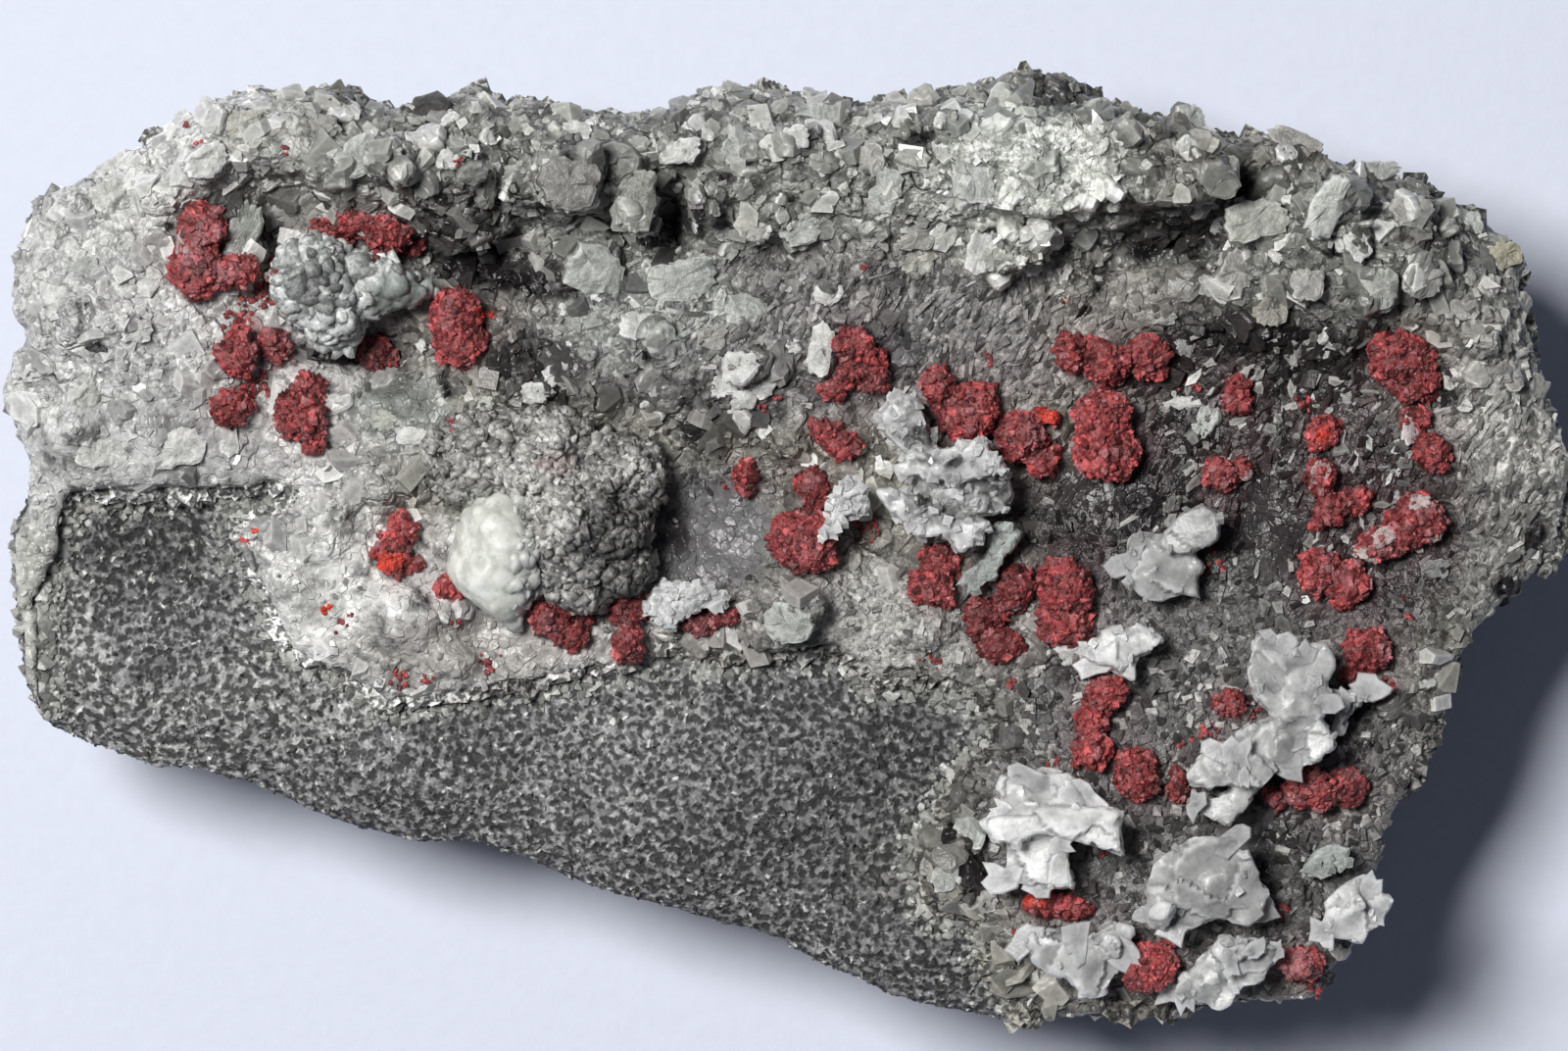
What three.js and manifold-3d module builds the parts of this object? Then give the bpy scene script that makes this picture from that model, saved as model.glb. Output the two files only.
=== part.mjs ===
// Cinnabar on matrix: a hand specimen of grey sandstone.  One face of it carries a crust of pale
// druse with a thick rim, and on the crust sit milky bladed crystals, drusy lumps and small balls of
// red cinnabar.  Millimetres, +Z up.  The origin lies under the middle of the flat bedding face that
// the specimen rests on: X runs along its length and Y across it.
import * as THREE from 'three';
import { mergeVertices } from 'three/addons/utils/BufferGeometryUtils.js';
import Module from 'manifold-3d';

const wasm = await Module();
wasm.setup();
const { Manifold, Mesh: SolidMesh } = wasm;

// ---------------------------------------------------------------- driving sizes

const HALF_LENGTH = 45;
const HALF_WIDTH = 27.5;
const SEAT_Z = 16.2; // the sandstone's top face under the crust
const GAP = 0.3; // between neighbouring pieces
const CRUST_Z = SEAT_Z + GAP; // the crust's underside
const FIELD_Z = 18; // the crust's top where nothing raises it
const CEILING_Z = 34; // higher than every piece
const LEAST_CRUST = 0.5;
const CRUST_CELL = 2.3;
const SANDSTONE_CELL = 2.3;
const CRYSTALS = 48; // larger single crystals of the crust
const SPINE = [[-31, 5], [29, -2]]; // the line that the sides taper towards
const FINEST = 0.2; // detail finer than this is left out of the small pieces
const FINEST_IN_CRUST = 0.38;
const BEVEL = 0.5; // round the top of every flat crystal

// The specimen's outline seen from above, clockwise from the middle of the left end.
const OUTLINE = [
  [-45, 8.6], [-44.2, 11], [-43.3, 11.9], [-44.1, 13.6], [-44.4, 15.6], [-44, 17.5], [-43.6, 18.1],
  [-43.6, 19.3], [-42.4, 20.3], [-40.4, 20.9], [-39.2, 22.3], [-37.2, 22.8], [-35.8, 23.8],
  [-34, 24.6], [-32.5, 25.6], [-30.4, 26.05], [-28.5, 25.7], [-26.4, 26.5], [-24.9, 26.5],
  [-24.4, 25.1], [-21.8, 25.2], [-19.5, 25.5], [-18.4, 26.3], [-17.2, 26.3], [-16.6, 24.9],
  [-14.8, 25.8], [-12.5, 24.9], [-9.6, 24.7], [-7.1, 24.7], [-5.2, 25.7], [-4, 26.5], [-1.6, 26.6],
  [-0.4, 25.8], [1.6, 26.4], [2.9, 25.2], [4.8, 25.1], [6.8, 25.7], [8.3, 25.6], [9.9, 26.5],
  [11.7, 25.9], [12.3, 26.9], [14.1, 27.5], [16.4, 27], [17.4, 25.9], [19.8, 25], [22, 24.5],
  [22.9, 25.2], [24, 24.2], [24.9, 23], [27.6, 23.5], [30.2, 23.1], [31.7, 21.9], [33.1, 21.4],
  [34, 21.8], [36.4, 20.8], [38.2, 19.7], [39.8, 19.2], [40.9, 18.3], [42.2, 17.2], [42.6, 16.2],
  [41.9, 15.2], [42.6, 13.2], [43.1, 10.9], [44, 8.6], [44.8, 6], [45, 3.4], [45, -0.2],
  [42.6, -1.8], [40.4, -3.8], [38.8, -6], [38, -8], [37.2, -11], [36.2, -13.4], [35, -15.6],
  [34.3, -17.8], [33.8, -19.6], [34, -21], [32.6, -22.8], [31.6, -24.2], [30.4, -26],
  [27.8, -26], [24.8, -26.4], [21.5, -26.9], [18.4, -26.9], [15.8, -26.9], [13.4, -27.5],
  [10.4, -26.9], [6.4, -26.2], [4, -24.9], [1, -23.8], [-0.6, -22.6], [-3.2, -21.8], [-6, -21],
  [-9.8, -20.2], [-12.4, -19.1], [-15.6, -17.6], [-18, -17], [-21.4, -17], [-24.6, -16.2],
  [-27.8, -15.1], [-30.6, -13.9], [-33.4, -12.8], [-36.4, -12.7], [-39, -11.8], [-41.6, -10.7],
  [-43.1, -9.7], [-44, -7.4], [-44.2, -4.4], [-44.5, -1.2], [-44.4, 1.4], [-43.6, 2.8],
  [-43.4, 5], [-44.2, 6.8],
];

// Broken faces that undercut the sides: a point of the face, the direction that it looks in, and how
// far it leans over, both in degrees.
const BROKEN_FACES = [
  [-43.1, 1, 10, 184, 24], [-41.6, 15, 8, 160, 30], [-36.5, 21.4, 9, 121, 24], [-22, 24.2, 7, 94, 30],
  [-4, 24.4, 9, 86, 18], [14, 25.2, 7, 96, 27], [28, 21.6, 9, 70, 22], [37.4, 17.6, 8, 52, 30],
  [43.3, 6, 9, 12, 20], [41.8, -3.4, 8, -22, 28], [36.6, -9.4, 9, -28, 20], [33.2, -19, 8, -38, 30],
  [24, -25.2, 8, -84, 24], [12, -25.6, 6, -100, 32], [2, -22.8, 9, -107, 20], [-10, -19, 7, -106, 30],
  [-24, -15.4, 9, -110, 20], [-37, -11.7, 7, -109, 30], [-42, -8.4, 9, -140, 24],
];

// Where the crust ends on the bare sandstone, from the lower rim round to the left end.  The last
// points close the region outside the outline.
const CRUST_REGION = [
  [13.2, -26.3], [11.6, -24.6], [12.2, -22.6], [11, -21.2], [8.6, -20.8], [7.8, -18.8], [8.2, -17],
  [9.4, -15], [10.2, -13.2], [12, -11.8], [12.8, -10.4], [11.4, -8.6], [9, -7.6], [7, -7.7],
  [5.2, -8], [4.4, -6.6], [2.8, -5.7], [0.6, -6.2], [-3.4, -6.5], [-6.6, -5.4], [-8.4, -6.6],
  [-12.4, -7.4], [-16, -8.1], [-19, -8.6], [-23, -9.1], [-25, -7.3], [-28.6, -5.9], [-29.7, -3],
  [-30.6, -1.2], [-31.8, 0.1], [-31, 1.6], [-28.6, 2.4], [-27.4, 3.3], [-29.5, 3.8], [-31.4, 3.1],
  [-36, 3.2], [-41.4, 3], [-41.6, 0], [-42.8, -2.6], [-42.6, -5], [-42.7, -9], [-43.4, -12],
  [-50, -12], [-50, 32], [50, 32], [50, -32], [14, -32],
];

// Forms of the crust's surface: x, y, half length, half width, turn in degrees, rise, and how
// flat-topped the form is.  The rises add up.
const FORMS = [
  [-38, 12, 9, 10, 0, 2.6, 1.5], // the left druse
  [-31, 23.5, 6, 3.2, 20, 3.2, 1.6],
  [-22, 22.6, 9, 3.6, -4, 4.6, 2], // the upper rim
  [-7, 22, 11, 4.4, 0, 4.3, 2],
  [8, 22, 8, 4.2, 0, 3.8, 2],
  [18, 22, 8.5, 3.6, -6, 5.2, 2.4], // the ledge
  [33, 17.8, 9, 4.4, -28, 3.6, 1.6],
  [41.5, 6, 3.4, 9, 6, 1.9, 1.5], // the right rim
  [37.5, -7, 2.2, 6, -12, 1.2, 1.5],
  [-14, 11, 8, 4, 0, 1.6, 1.4],
  [-2, 12, 8, 4, 0, 1.5, 1.4],
  [8, 14.6, 8, 4, -6, 1.8, 1.4],
  [26, 13.5, 6, 2.6, -8, 1.4, 1.4],
  [-21, 6, 4.5, 3.6, 10, 1.4, 1.4],
  [-22.5, -3.5, 8, 4.6, -18, 0.6, 1.5],
  [0, -3.6, 2.8, 2.2, 0, 1.4, 1.4],
  [21, -19, 9, 7, 0, 1, 1.5],
  [-40, 0, 4, 14, 0, -0.7, 1.5], // the thin strip down the left end
  [-29.3, 18.4, 1.5, 2.8, 0, -6.5, 1.3], // holes and pits
  [-18.2, 16.2, 3.4, 1.5, 0, -5.5, 1.4],
  [-25.6, 11, 3.6, 1.5, -8, -3, 1.3],
  [-10, 18.3, 1.3, 1.5, 0, -5.5, 1.3],
  [-6.8, 18.6, 1.1, 2.9, -12, -5.5, 1.3],
  [-15.6, 21.8, 1, 1.6, 0, -4, 1.2],
  [-2.6, 16, 2.4, 0.8, 12, -1.6, 1.2],
  [-3.4, 21.2, 0.8, 0.9, 0, -3, 1.1],
  [5.9, 21.4, 1.7, 0.9, 60, -2.6, 1.2],
  [21.8, 17.6, 4, 1.2, 20, -6, 1.4],
  [26.4, 20.4, 1.2, 1.1, 0, -5, 1.2],
  [31.6, 16.8, 1.2, 1, 20, -3, 1.2],
  [-5, 1.2, 4, 3.4, 12, -1.5, 1.3],
  [4.8, -1.6, 2.2, 1.2, 0, -1.3, 1.2],
  [14.6, 2.6, 2.2, 1.4, -20, -1.6, 1.2],
  [28.4, -17, 2.4, 1.8, 10, -1.6, 1.3],
  [33.4, -11.4, 1.6, 2.6, 0, -1.2, 1.3],
];

// Rounded blocks grown into the crust: x, y, height of the middle above the crust, half sizes, turn.
const CRUST_BLOCKS = [
  [-33.2, 22, 0.3, 1.7, 1.5, 1.2, 30], [-35.2, 20.4, 0.2, 1.9, 1.3, 1, 10],
  [-31.2, 17.9, 0.8, 1.1, 1.9, 1.4, 4], [-32, 24.3, 0.3, 1.5, 1.2, 1, -20],
  [-26.2, 25.4, -0.3, 1.9, 0.9, 1.1, 8], [-28.2, 23.8, 0.2, 1.1, 1.2, 1.1, 0],
  [-25.6, 22, 0.4, 2.4, 1.9, 1.5, 12], [-22.4, 22.1, 0.4, 2.1, 1.5, 1.4, -8],
  [-17.6, 24.6, 0.3, 1.1, 1.5, 1.2, 20], [-18.4, 18.8, 0.6, 2.5, 1.7, 1.6, -8],
  [-14.8, 20.4, 0.3, 1.1, 1.2, 1.1, 0], [-12.3, 21, 0.4, 2.1, 2.1, 1.5, 0],
  [-8.4, 19.7, 0.8, 1.3, 2.6, 1.8, 6], [-10.6, 16.2, 0.3, 2, 1.5, 0.9, -30],
  [-5, 16, 0.2, 2.9, 1.4, 0.9, 10], [-4.6, 19.6, 0.4, 1.1, 1.7, 1.2, 0],
  [-6, 23, 0.3, 1.5, 1.2, 1, 0], [-1.8, 18.4, 0.3, 1.3, 1.2, 1.1, 0],
  [1, 18.3, 0.3, 1.5, 1, 1.1, 20], [0.8, 23.2, 0.3, 1.5, 1.1, 1.1, -15],
  [5.2, 21.6, 0.6, 1.4, 1.9, 1.3, -20], [7.7, 22.4, 0.4, 1, 0.9, 1, 0],
  [14.3, 26, -0.4, 2.5, 1.5, 1.9, 0], [22.9, 24.3, -0.4, 1.1, 0.8, 1.2, 20],
  [28.6, 22.5, 0, 2.6, 0.9, 1, -6], [31.2, 19.6, 0.4, 1.3, 1.9, 1.4, -20],
  [27, 18.6, 0.3, 2.1, 1.1, 1.1, 14], [25.9, 15.6, 0.2, 1.2, 1.3, 1, 0],
  [29.8, 15.2, 0.6, 1.1, 1.3, 1.1, 0], [32.8, 17.3, 0.7, 0.8, 1, 1, 20],
  [35.8, 19.3, 0.3, 1.3, 1.1, 1.1, 0], [33.9, 14.7, 0.4, 1.2, 1.4, 1, -20],
  [36.4, 15.8, 0.3, 1.8, 1, 1, -24], [41.4, 16.8, -0.6, 1.4, 1.1, 1.3, -20],
  [39.8, 18, -0.3, 1, 1.1, 1.1, 0], [32.4, 12, 0.3, 1, 1, 0.8, 0],
  [-2, 10.3, 0.4, 1.6, 1, 0.9, -20], [0.8, 11.7, 0.4, 0.7, 0.7, 0.7, 0],
  [2.2, 11, 0.7, 0.9, 1.6, 1.1, 10], [-8, 12.2, 0.2, 1.5, 1.1, 0.8, -30],
  [0.1, 6.1, 0.4, 1.4, 1.1, 0.8, 0], [-21.6, 8.4, 0.3, 1.3, 1, 0.9, 0],
  [-23, 3.6, 0.3, 1.2, 0.9, 0.8, 0], [-26, 0.2, 0.2, 2.4, 1.6, 0.8, 20],
  [-22, -4.2, 0.2, 2, 1.6, 0.9, 0], [-19.4, -6.6, 0.2, 1.6, 1, 0.8, 0],
  [0.8, -3.4, 0.3, 1.9, 1.5, 0.8, 0], [-0.9, -2.8, 0.4, 1, 1, 0.9, 0],
  [8, -4.8, 0.4, 1.7, 1.4, 0.9, 20], [15.2, -6.2, 0.2, 1.4, 0.8, 0.8, -8],
  [9.9, -18.2, 0.4, 1.5, 2, 1, 0], [34, -12, 0.2, 0.9, 1.3, 0.8, 0],
];

// Flat-topped shelves of the rim that overhang the pits beside them: outline, foot and top heights,
// and the size of the foot.
const SHELVES = [
  {
    points: [
      [9.6, 20.8], [9.2, 22.8], [10.8, 24.2], [14, 24.6], [18.6, 24.4], [22.6, 23.8], [25.6, 22.4],
      [25.8, 21], [24.4, 19.5], [21.6, 19.2], [19, 20], [16.6, 19.6], [15, 18.6], [12.6, 19.2],
      [11, 19.4],
    ],
    foot: 19.4, top: 24.2, footScale: 0.82,
  },
  {
    points: [
      [10.3, 17.1], [10.9, 18.3], [12.6, 17.9], [14.3, 17.7], [15.3, 18.7], [15.4, 16.7],
      [14.4, 16], [12.3, 15.1], [11.2, 16.3],
    ],
    foot: 18.4, top: 21.9, footScale: 0.8,
  },
];

// ---------------------------------------------------------------- noise and chance

// A repeatable value from -1 to 1 for a point of an integer lattice.
function latticeValue(ix, iy, iz, seed) {
  let h = Math.imul(ix, 374761393) ^ Math.imul(iy, 668265263) ^ Math.imul(iz, 1274126177);
  h = Math.imul(h ^ (h >>> 13) ^ Math.imul(seed + 1, 1103515245), 1597334677);
  h = Math.imul(h ^ (h >>> 15), 2246822519);
  return ((h ^ (h >>> 16)) >>> 0) / 2147483648 - 1;
}

// Smooth noise from -1 to 1, with one lattice cell to each unit.
function noise(x, y, z, seed) {
  const cell = [Math.floor(x), Math.floor(y), Math.floor(z)];
  const ease = [x, y, z].map((value, i) => {
    const t = value - cell[i];
    return t * t * (3 - 2 * t);
  });
  let sum = 0;
  for (let corner = 0; corner < 8; corner++) {
    const step = [corner & 1, (corner >> 1) & 1, (corner >> 2) & 1];
    const weight = step.reduce((product, s, i) => product * (s ? ease[i] : 1 - ease[i]), 1);
    sum += weight * latticeValue(cell[0] + step[0], cell[1] + step[1], cell[2] + step[2], seed);
  }
  return sum;
}

// A seeded source of numbers from 0 to 1.
function chance(seed) {
  let state = seed;
  return () => {
    state = (state + 0x6d2b79f5) | 0;
    let t = Math.imul(state ^ (state >>> 15), 1 | state);
    t = (t + Math.imul(t ^ (t >>> 7), 61 | t)) ^ t;
    return ((t ^ (t >>> 14)) >>> 0) / 4294967296;
  };
}

// ---------------------------------------------------------------- flat geometry

function insideOf(points, x, y) {
  let inside = false;
  for (let i = 0, j = points.length - 1; i < points.length; j = i++) {
    const [ax, ay] = points[i];
    const [bx, by] = points[j];
    if (ay > y !== by > y && x < ((bx - ax) * (y - ay)) / (by - ay) + ax) inside = !inside;
  }
  return inside;
}

function distanceToSegment(x, y, [ax, ay], [bx, by]) {
  const along = ((x - ax) * (bx - ax) + (y - ay) * (by - ay)) / ((bx - ax) ** 2 + (by - ay) ** 2);
  const t = Math.min(1, Math.max(0, along));
  return Math.hypot(x - ax - t * (bx - ax), y - ay - t * (by - ay));
}

function distanceToOutline(points, x, y) {
  let least = Infinity;
  points.forEach((point, i) => {
    least = Math.min(least, distanceToSegment(x, y, point, points[(i + 1) % points.length]));
  });
  return least;
}

function anticlockwise(points) {
  return THREE.ShapeUtils.area(points.map(([x, y]) => new THREE.Vector2(x, y))) > 0
    ? points
    : [...points].reverse();
}

// Moves each point of an anticlockwise outline inwards by a distance.
function insetOutline(points, distance) {
  return points.map(([x, y], i) => {
    const before = points[(i + points.length - 1) % points.length];
    const after = points[(i + 1) % points.length];
    const length = Math.hypot(after[0] - before[0], after[1] - before[1]);
    const inward = [-(after[1] - before[1]) / length, (after[0] - before[0]) / length];
    return [x + inward[0] * distance, y + inward[1] * distance];
  });
}

function middleOf(points) {
  const sum = points.reduce((total, [x, y]) => [total[0] + x, total[1] + y], [0, 0]);
  return [sum[0] / points.length, sum[1] / points.length];
}

// ---------------------------------------------------------------- solids

// A closed three.js geometry as a solid that can be cut and joined.
function solidOf(geometry) {
  const bare = geometry.clone();
  bare.deleteAttribute('normal');
  bare.deleteAttribute('uv');
  const merged = mergeVertices(bare, 1e-4);
  return new Manifold(new SolidMesh({
    numProp: 3,
    vertProperties: new Float32Array(merged.attributes.position.array),
    triVerts: new Uint32Array(merged.index.array),
  }));
}

function geometryOf(solid) {
  const mesh = solid.getMesh();
  const geometry = new THREE.BufferGeometry();
  geometry.setAttribute('position', new THREE.BufferAttribute(mesh.vertProperties, 3));
  geometry.setIndex(new THREE.BufferAttribute(mesh.triVerts, 1));
  return geometry.toNonIndexed();
}

function indexedSolid(vertices, triangles) {
  const geometry = new THREE.BufferGeometry();
  geometry.setAttribute('position', new THREE.Float32BufferAttribute(vertices.flat(), 3));
  geometry.setIndex(triangles.flat());
  return solidOf(geometry);
}

// A solid through rings of equal count, lowest first, each anticlockwise seen from above.
function loft(rings) {
  const count = rings[0].length;
  const triangles = [];
  for (let level = 0; level + 1 < rings.length; level++) {
    for (let i = 0; i < count; i++) {
      const next = (i + 1) % count;
      const low = level * count;
      const high = low + count;
      triangles.push([low + i, low + next, high + next], [low + i, high + next, high + i]);
    }
  }
  const capOf = (ring) => THREE.ShapeUtils.triangulateShape(
    ring.map(([x, y]) => new THREE.Vector2(x, y)), []);
  const top = (rings.length - 1) * count;
  capOf(rings[0]).forEach(([a, b, c]) => triangles.push([a, c, b]));
  capOf(rings.at(-1)).forEach(([a, b, c]) => triangles.push([top + a, top + b, top + c]));
  return indexedSolid(rings.flat(), triangles);
}

function prism(points, lowZ, highZ) {
  const ring = anticlockwise(points);
  return loft([lowZ, highZ].map((z) => ring.map(([x, y]) => [x, y, z])));
}

// A block under a height field, over the specimen's whole rectangle.
function reliefBlock(heightAt, cell, floorZ) {
  const margin = 3;
  const columns = Math.ceil((2 * (HALF_LENGTH + margin)) / cell);
  const rows = Math.ceil((2 * (HALF_WIDTH + margin)) / cell);
  const place = (column, row) => [
    -HALF_LENGTH - margin + column * cell,
    -HALF_WIDTH - margin + row * cell,
  ];
  const vertices = [];
  for (const top of [false, true]) {
    for (let row = 0; row <= rows; row++) {
      for (let column = 0; column <= columns; column++) {
        const [x, y] = place(column, row);
        vertices.push([x, y, top ? heightAt(x, y) : floorZ]);
      }
    }
  }
  const layer = (columns + 1) * (rows + 1);
  const at = (column, row) => row * (columns + 1) + column;
  const triangles = [];
  for (let row = 0; row < rows; row++) {
    for (let column = 0; column < columns; column++) {
      const corners = [at(column, row), at(column + 1, row), at(column + 1, row + 1),
        at(column, row + 1)];
      // The diagonal changes from cell to cell, so that the facets don't line up.
      const turned = (column + row) % 2 ? [...corners.slice(1), corners[0]] : corners;
      const [a, b, c, d] = turned;
      triangles.push([a + layer, b + layer, c + layer], [a + layer, c + layer, d + layer]);
      triangles.push([a, c, b], [a, d, c]);
    }
  }
  const wall = (a, b) => triangles.push([a, b, b + layer], [a, b + layer, a + layer]);
  for (let column = 0; column < columns; column++) {
    wall(at(column, 0), at(column + 1, 0));
    wall(at(column + 1, rows), at(column, rows));
  }
  for (let row = 0; row < rows; row++) {
    wall(at(columns, row), at(columns, row + 1));
    wall(at(0, row + 1), at(0, row));
  }
  return indexedSolid(vertices, triangles);
}

// A rough faceted ball.
function lump([x, y, z], [rx, ry, rz], turnDegrees, roughness, seed, detail = 1) {
  const geometry = new THREE.IcosahedronGeometry(1, detail);
  const position = geometry.attributes.position;
  const point = new THREE.Vector3();
  for (let i = 0; i < position.count; i++) {
    point.fromBufferAttribute(position, i);
    const swell = 1 + roughness * noise(point.x * 1.6, point.y * 1.6, point.z * 1.6, seed);
    position.setXYZ(i, point.x * swell, point.y * swell, point.z * swell);
  }
  geometry.scale(rx, ry, rz);
  geometry.rotateZ(THREE.MathUtils.degToRad(turnDegrees));
  geometry.translate(x, y, z);
  return solidOf(geometry);
}

// A small rhomb-shaped crystal, standing on one corner of its skewed box.
function rhomb([x, y, z], size, tilt, turn) {
  const geometry = new THREE.BoxGeometry(size, size, size * 0.8);
  geometry.applyMatrix4(new THREE.Matrix4().makeShear(0.25, 0.1, 0.2, 0, 0.15, 0));
  geometry.rotateX(tilt);
  geometry.rotateZ(turn);
  geometry.translate(x, y, z);
  return solidOf(geometry);
}

function unionOf(solids) {
  return solids.reduce((joined, solid) => joined.add(solid));
}

// The largest body of a solid, without slivers.
function mainBody(solid, tolerance) {
  const bodies = solid.asOriginal().simplify(tolerance).decompose();
  return bodies.reduce((best, body) => (body.volume() > best.volume() ? body : best));
}

// Cuts a solid back from another, so that the gap stays between them.
function keepClear(solid, other, isGround) {
  const mine = solid.boundingBox();
  const theirs = other.boundingBox();
  const apart = [0, 1, 2].some((axis) => (
    mine.min[axis] > theirs.max[axis] + GAP || theirs.min[axis] > mine.max[axis] + GAP));
  if (apart) return solid;
  const sideways = [0, 120, 240].map((degrees) => {
    const angle = THREE.MathUtils.degToRad(degrees);
    return [GAP * Math.cos(angle), GAP * Math.sin(angle), GAP / 2];
  });
  const shifts = [[0, 0, GAP], ...sideways];
  if (mine.min[2] < theirs.max[2] - GAP && !isGround) shifts.push([0, 0, -GAP]);
  return shifts.reduce((rest, shift) => rest.subtract(other.translate(shift)), solid);
}

// ---------------------------------------------------------------- surfaces

function formRise(x, y, [fx, fy, halfLength, halfWidth, turnDegrees, rise, flatness]) {
  const turn = THREE.MathUtils.degToRad(turnDegrees);
  const along = ((x - fx) * Math.cos(turn) + (y - fy) * Math.sin(turn)) / halfLength;
  const across = (-(x - fx) * Math.sin(turn) + (y - fy) * Math.cos(turn)) / halfWidth;
  return rise * Math.exp(-((along * along + across * across) ** flatness));
}

// How far the broken edge falls away near the outline.
function edgeFall(x, y, depth, reach) {
  return insideOf(OUTLINE, x, y) ? depth * Math.exp(-distanceToOutline(OUTLINE, x, y) / reach) : depth;
}

function crustHeight(x, y) {
  const rise = FORMS.reduce((sum, form) => sum + formRise(x, y, form), 0);
  const rough = 0.85 * noise(x / 4.4, y / 4.4, 0, 3) + 0.6 * noise(x / 2.3, y / 2.3, 7, 4);
  const height = FIELD_Z + rise + rough * (rise > 0.8 ? 1 : 0.6) - edgeFall(x, y, 1.5, 1.4);
  return Math.max(height, CRUST_Z + LEAST_CRUST);
}

function sandstoneHeight(x, y) {
  if (insideOf(CRUST_REGION, x, y)) return SEAT_Z;
  const bare = Math.min(1, distanceToOutline(CRUST_REGION, x, y) / 3);
  const scoop = formRise(x, y, [-36.4, -0.6, 4.6, 2.8, 20, -1.5, 1.2]);
  const swell = formRise(x, y, [-2, -14, 16, 6, -24, 0.9, 1.4]);
  const rough = 0.55 * noise(x / 6, y / 6, 2, 11) + 0.3 * noise(x / 2.6, y / 2.6, 5, 12);
  return SEAT_Z + bare * (rough + swell) + scoop - edgeFall(x, y, 2.4, 1.6);
}

// The outline at one level of the side: its points move towards the spine, more or less by chance.
function sideRing(z, inset, unevenness, seed) {
  const [from, to] = SPINE;
  return anticlockwise(OUTLINE).map(([x, y]) => {
    const along = ((x - from[0]) * (to[0] - from[0]) + (y - from[1]) * (to[1] - from[1]))
      / ((to[0] - from[0]) ** 2 + (to[1] - from[1]) ** 2);
    const t = Math.min(1, Math.max(0, along));
    const towards = [from[0] + t * (to[0] - from[0]) - x, from[1] + t * (to[1] - from[1]) - y];
    const distance = Math.hypot(...towards);
    const broken = noise(x / 5, y / 5, z / 4, seed) + 0.6 * noise(x / 2.2, y / 2.2, z / 2.5, seed + 1);
    const move = Math.max(0, inset + unevenness * broken);
    return [x + (towards[0] / distance) * move, y + (towards[1] / distance) * move, z];
  });
}

// ---------------------------------------------------------------- sandstone and crust

function makeMatrix() {
  const sides = loft([
    sideRing(0, 3.4, 1.8, 21),
    sideRing(3, 1.6, 1.4, 22),
    sideRing(7.5, 1.1, 1.3, 23),
    sideRing(11.5, 0.4, 0.5, 24),
    sideRing(13.4, 0, 0.2, 25),
    sideRing(CEILING_Z, 0, 0.1, 26),
  ]);
  const seat = prism(CRUST_REGION, SEAT_Z, CEILING_Z);
  const block = reliefBlock(sandstoneHeight, SANDSTONE_CELL, 0).intersect(sides).subtract(seat);
  const broken = BROKEN_FACES.reduce((rest, face) => rest.subtract(beyondFace(face)), block);
  return mainBody(broken, FINEST);
}

// Everything beyond one of the broken faces, below the crust.
function beyondFace([x, y, z, lookDegrees, leanDegrees]) {
  const size = 2 * HALF_LENGTH;
  const geometry = new THREE.BoxGeometry(size, size, size);
  geometry.translate(size / 2, 0, 0);
  geometry.rotateY(THREE.MathUtils.degToRad(leanDegrees));
  geometry.rotateZ(THREE.MathUtils.degToRad(lookDegrees));
  geometry.translate(x, y, z);
  const below = prism([[-100, -100], [100, -100], [100, 100], [-100, 100]], -CEILING_Z, SEAT_Z - 1);
  return solidOf(geometry).intersect(below);
}

function makeCrust() {
  const sides = loft([
    sideRing(CRUST_Z - 1, 0.1, 0.2, 31),
    sideRing(CRUST_Z + 2.5, 0, 0.1, 32),
    sideRing(CRUST_Z + 5.5, 0.25, 0.3, 33),
    sideRing(CEILING_Z, 2.5, 0.6, 34),
  ]);
  const region = prism(insetOutline(anticlockwise(CRUST_REGION), GAP), CRUST_Z - 1, CEILING_Z);
  const surface = reliefBlock(crustHeight, CRUST_CELL, CRUST_Z);
  const blocks = CRUST_BLOCKS.map(([x, y, lift, rx, ry, rz, turn], i) => lump(
    [x, y, crustHeight(x, y) + lift], [rx, ry, rz], turn, 0.28, 100 + i, rx > 2.3 ? 1 : 0));
  const shelves = SHELVES.map(({ points, foot, top, footScale }) => (
    tablet(points, foot, top, footScale, BEVEL)));
  const above = prism([[-60, -40], [60, -40], [60, 40], [-60, 40]], CRUST_Z, CEILING_Z);
  const grown = unionOf([surface, ...blocks, ...shelves, ...crustCrystals()])
    .asOriginal().simplify(FINEST_IN_CRUST);
  return mainBody(grown.intersect(sides).intersect(region).intersect(above), FINEST_IN_CRUST);
}

// Larger single crystals scattered over the druse.
function crustCrystals() {
  const random = chance(5);
  const crystals = [];
  while (crystals.length < CRYSTALS) {
    const x = (random() * 2 - 1) * HALF_LENGTH;
    const y = (random() * 2 - 1) * HALF_WIDTH;
    const size = 1.1 + random() * 0.9;
    const tilt = random() * Math.PI;
    const turn = random() * Math.PI;
    const drusy = y > 15 || x < -30 || (x < -16 && y < 4) || x > 38 || (y < -15 && x > 9);
    const settled = insideOf(OUTLINE, x, y) && insideOf(CRUST_REGION, x, y)
      && distanceToOutline(OUTLINE, x, y) > 0.8 && distanceToOutline(CRUST_REGION, x, y) > 0.9;
    if (drusy && settled) crystals.push(rhomb([x, y, crustHeight(x, y) + 0.1], size, tilt, turn));
  }
  return crystals;
}

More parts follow.
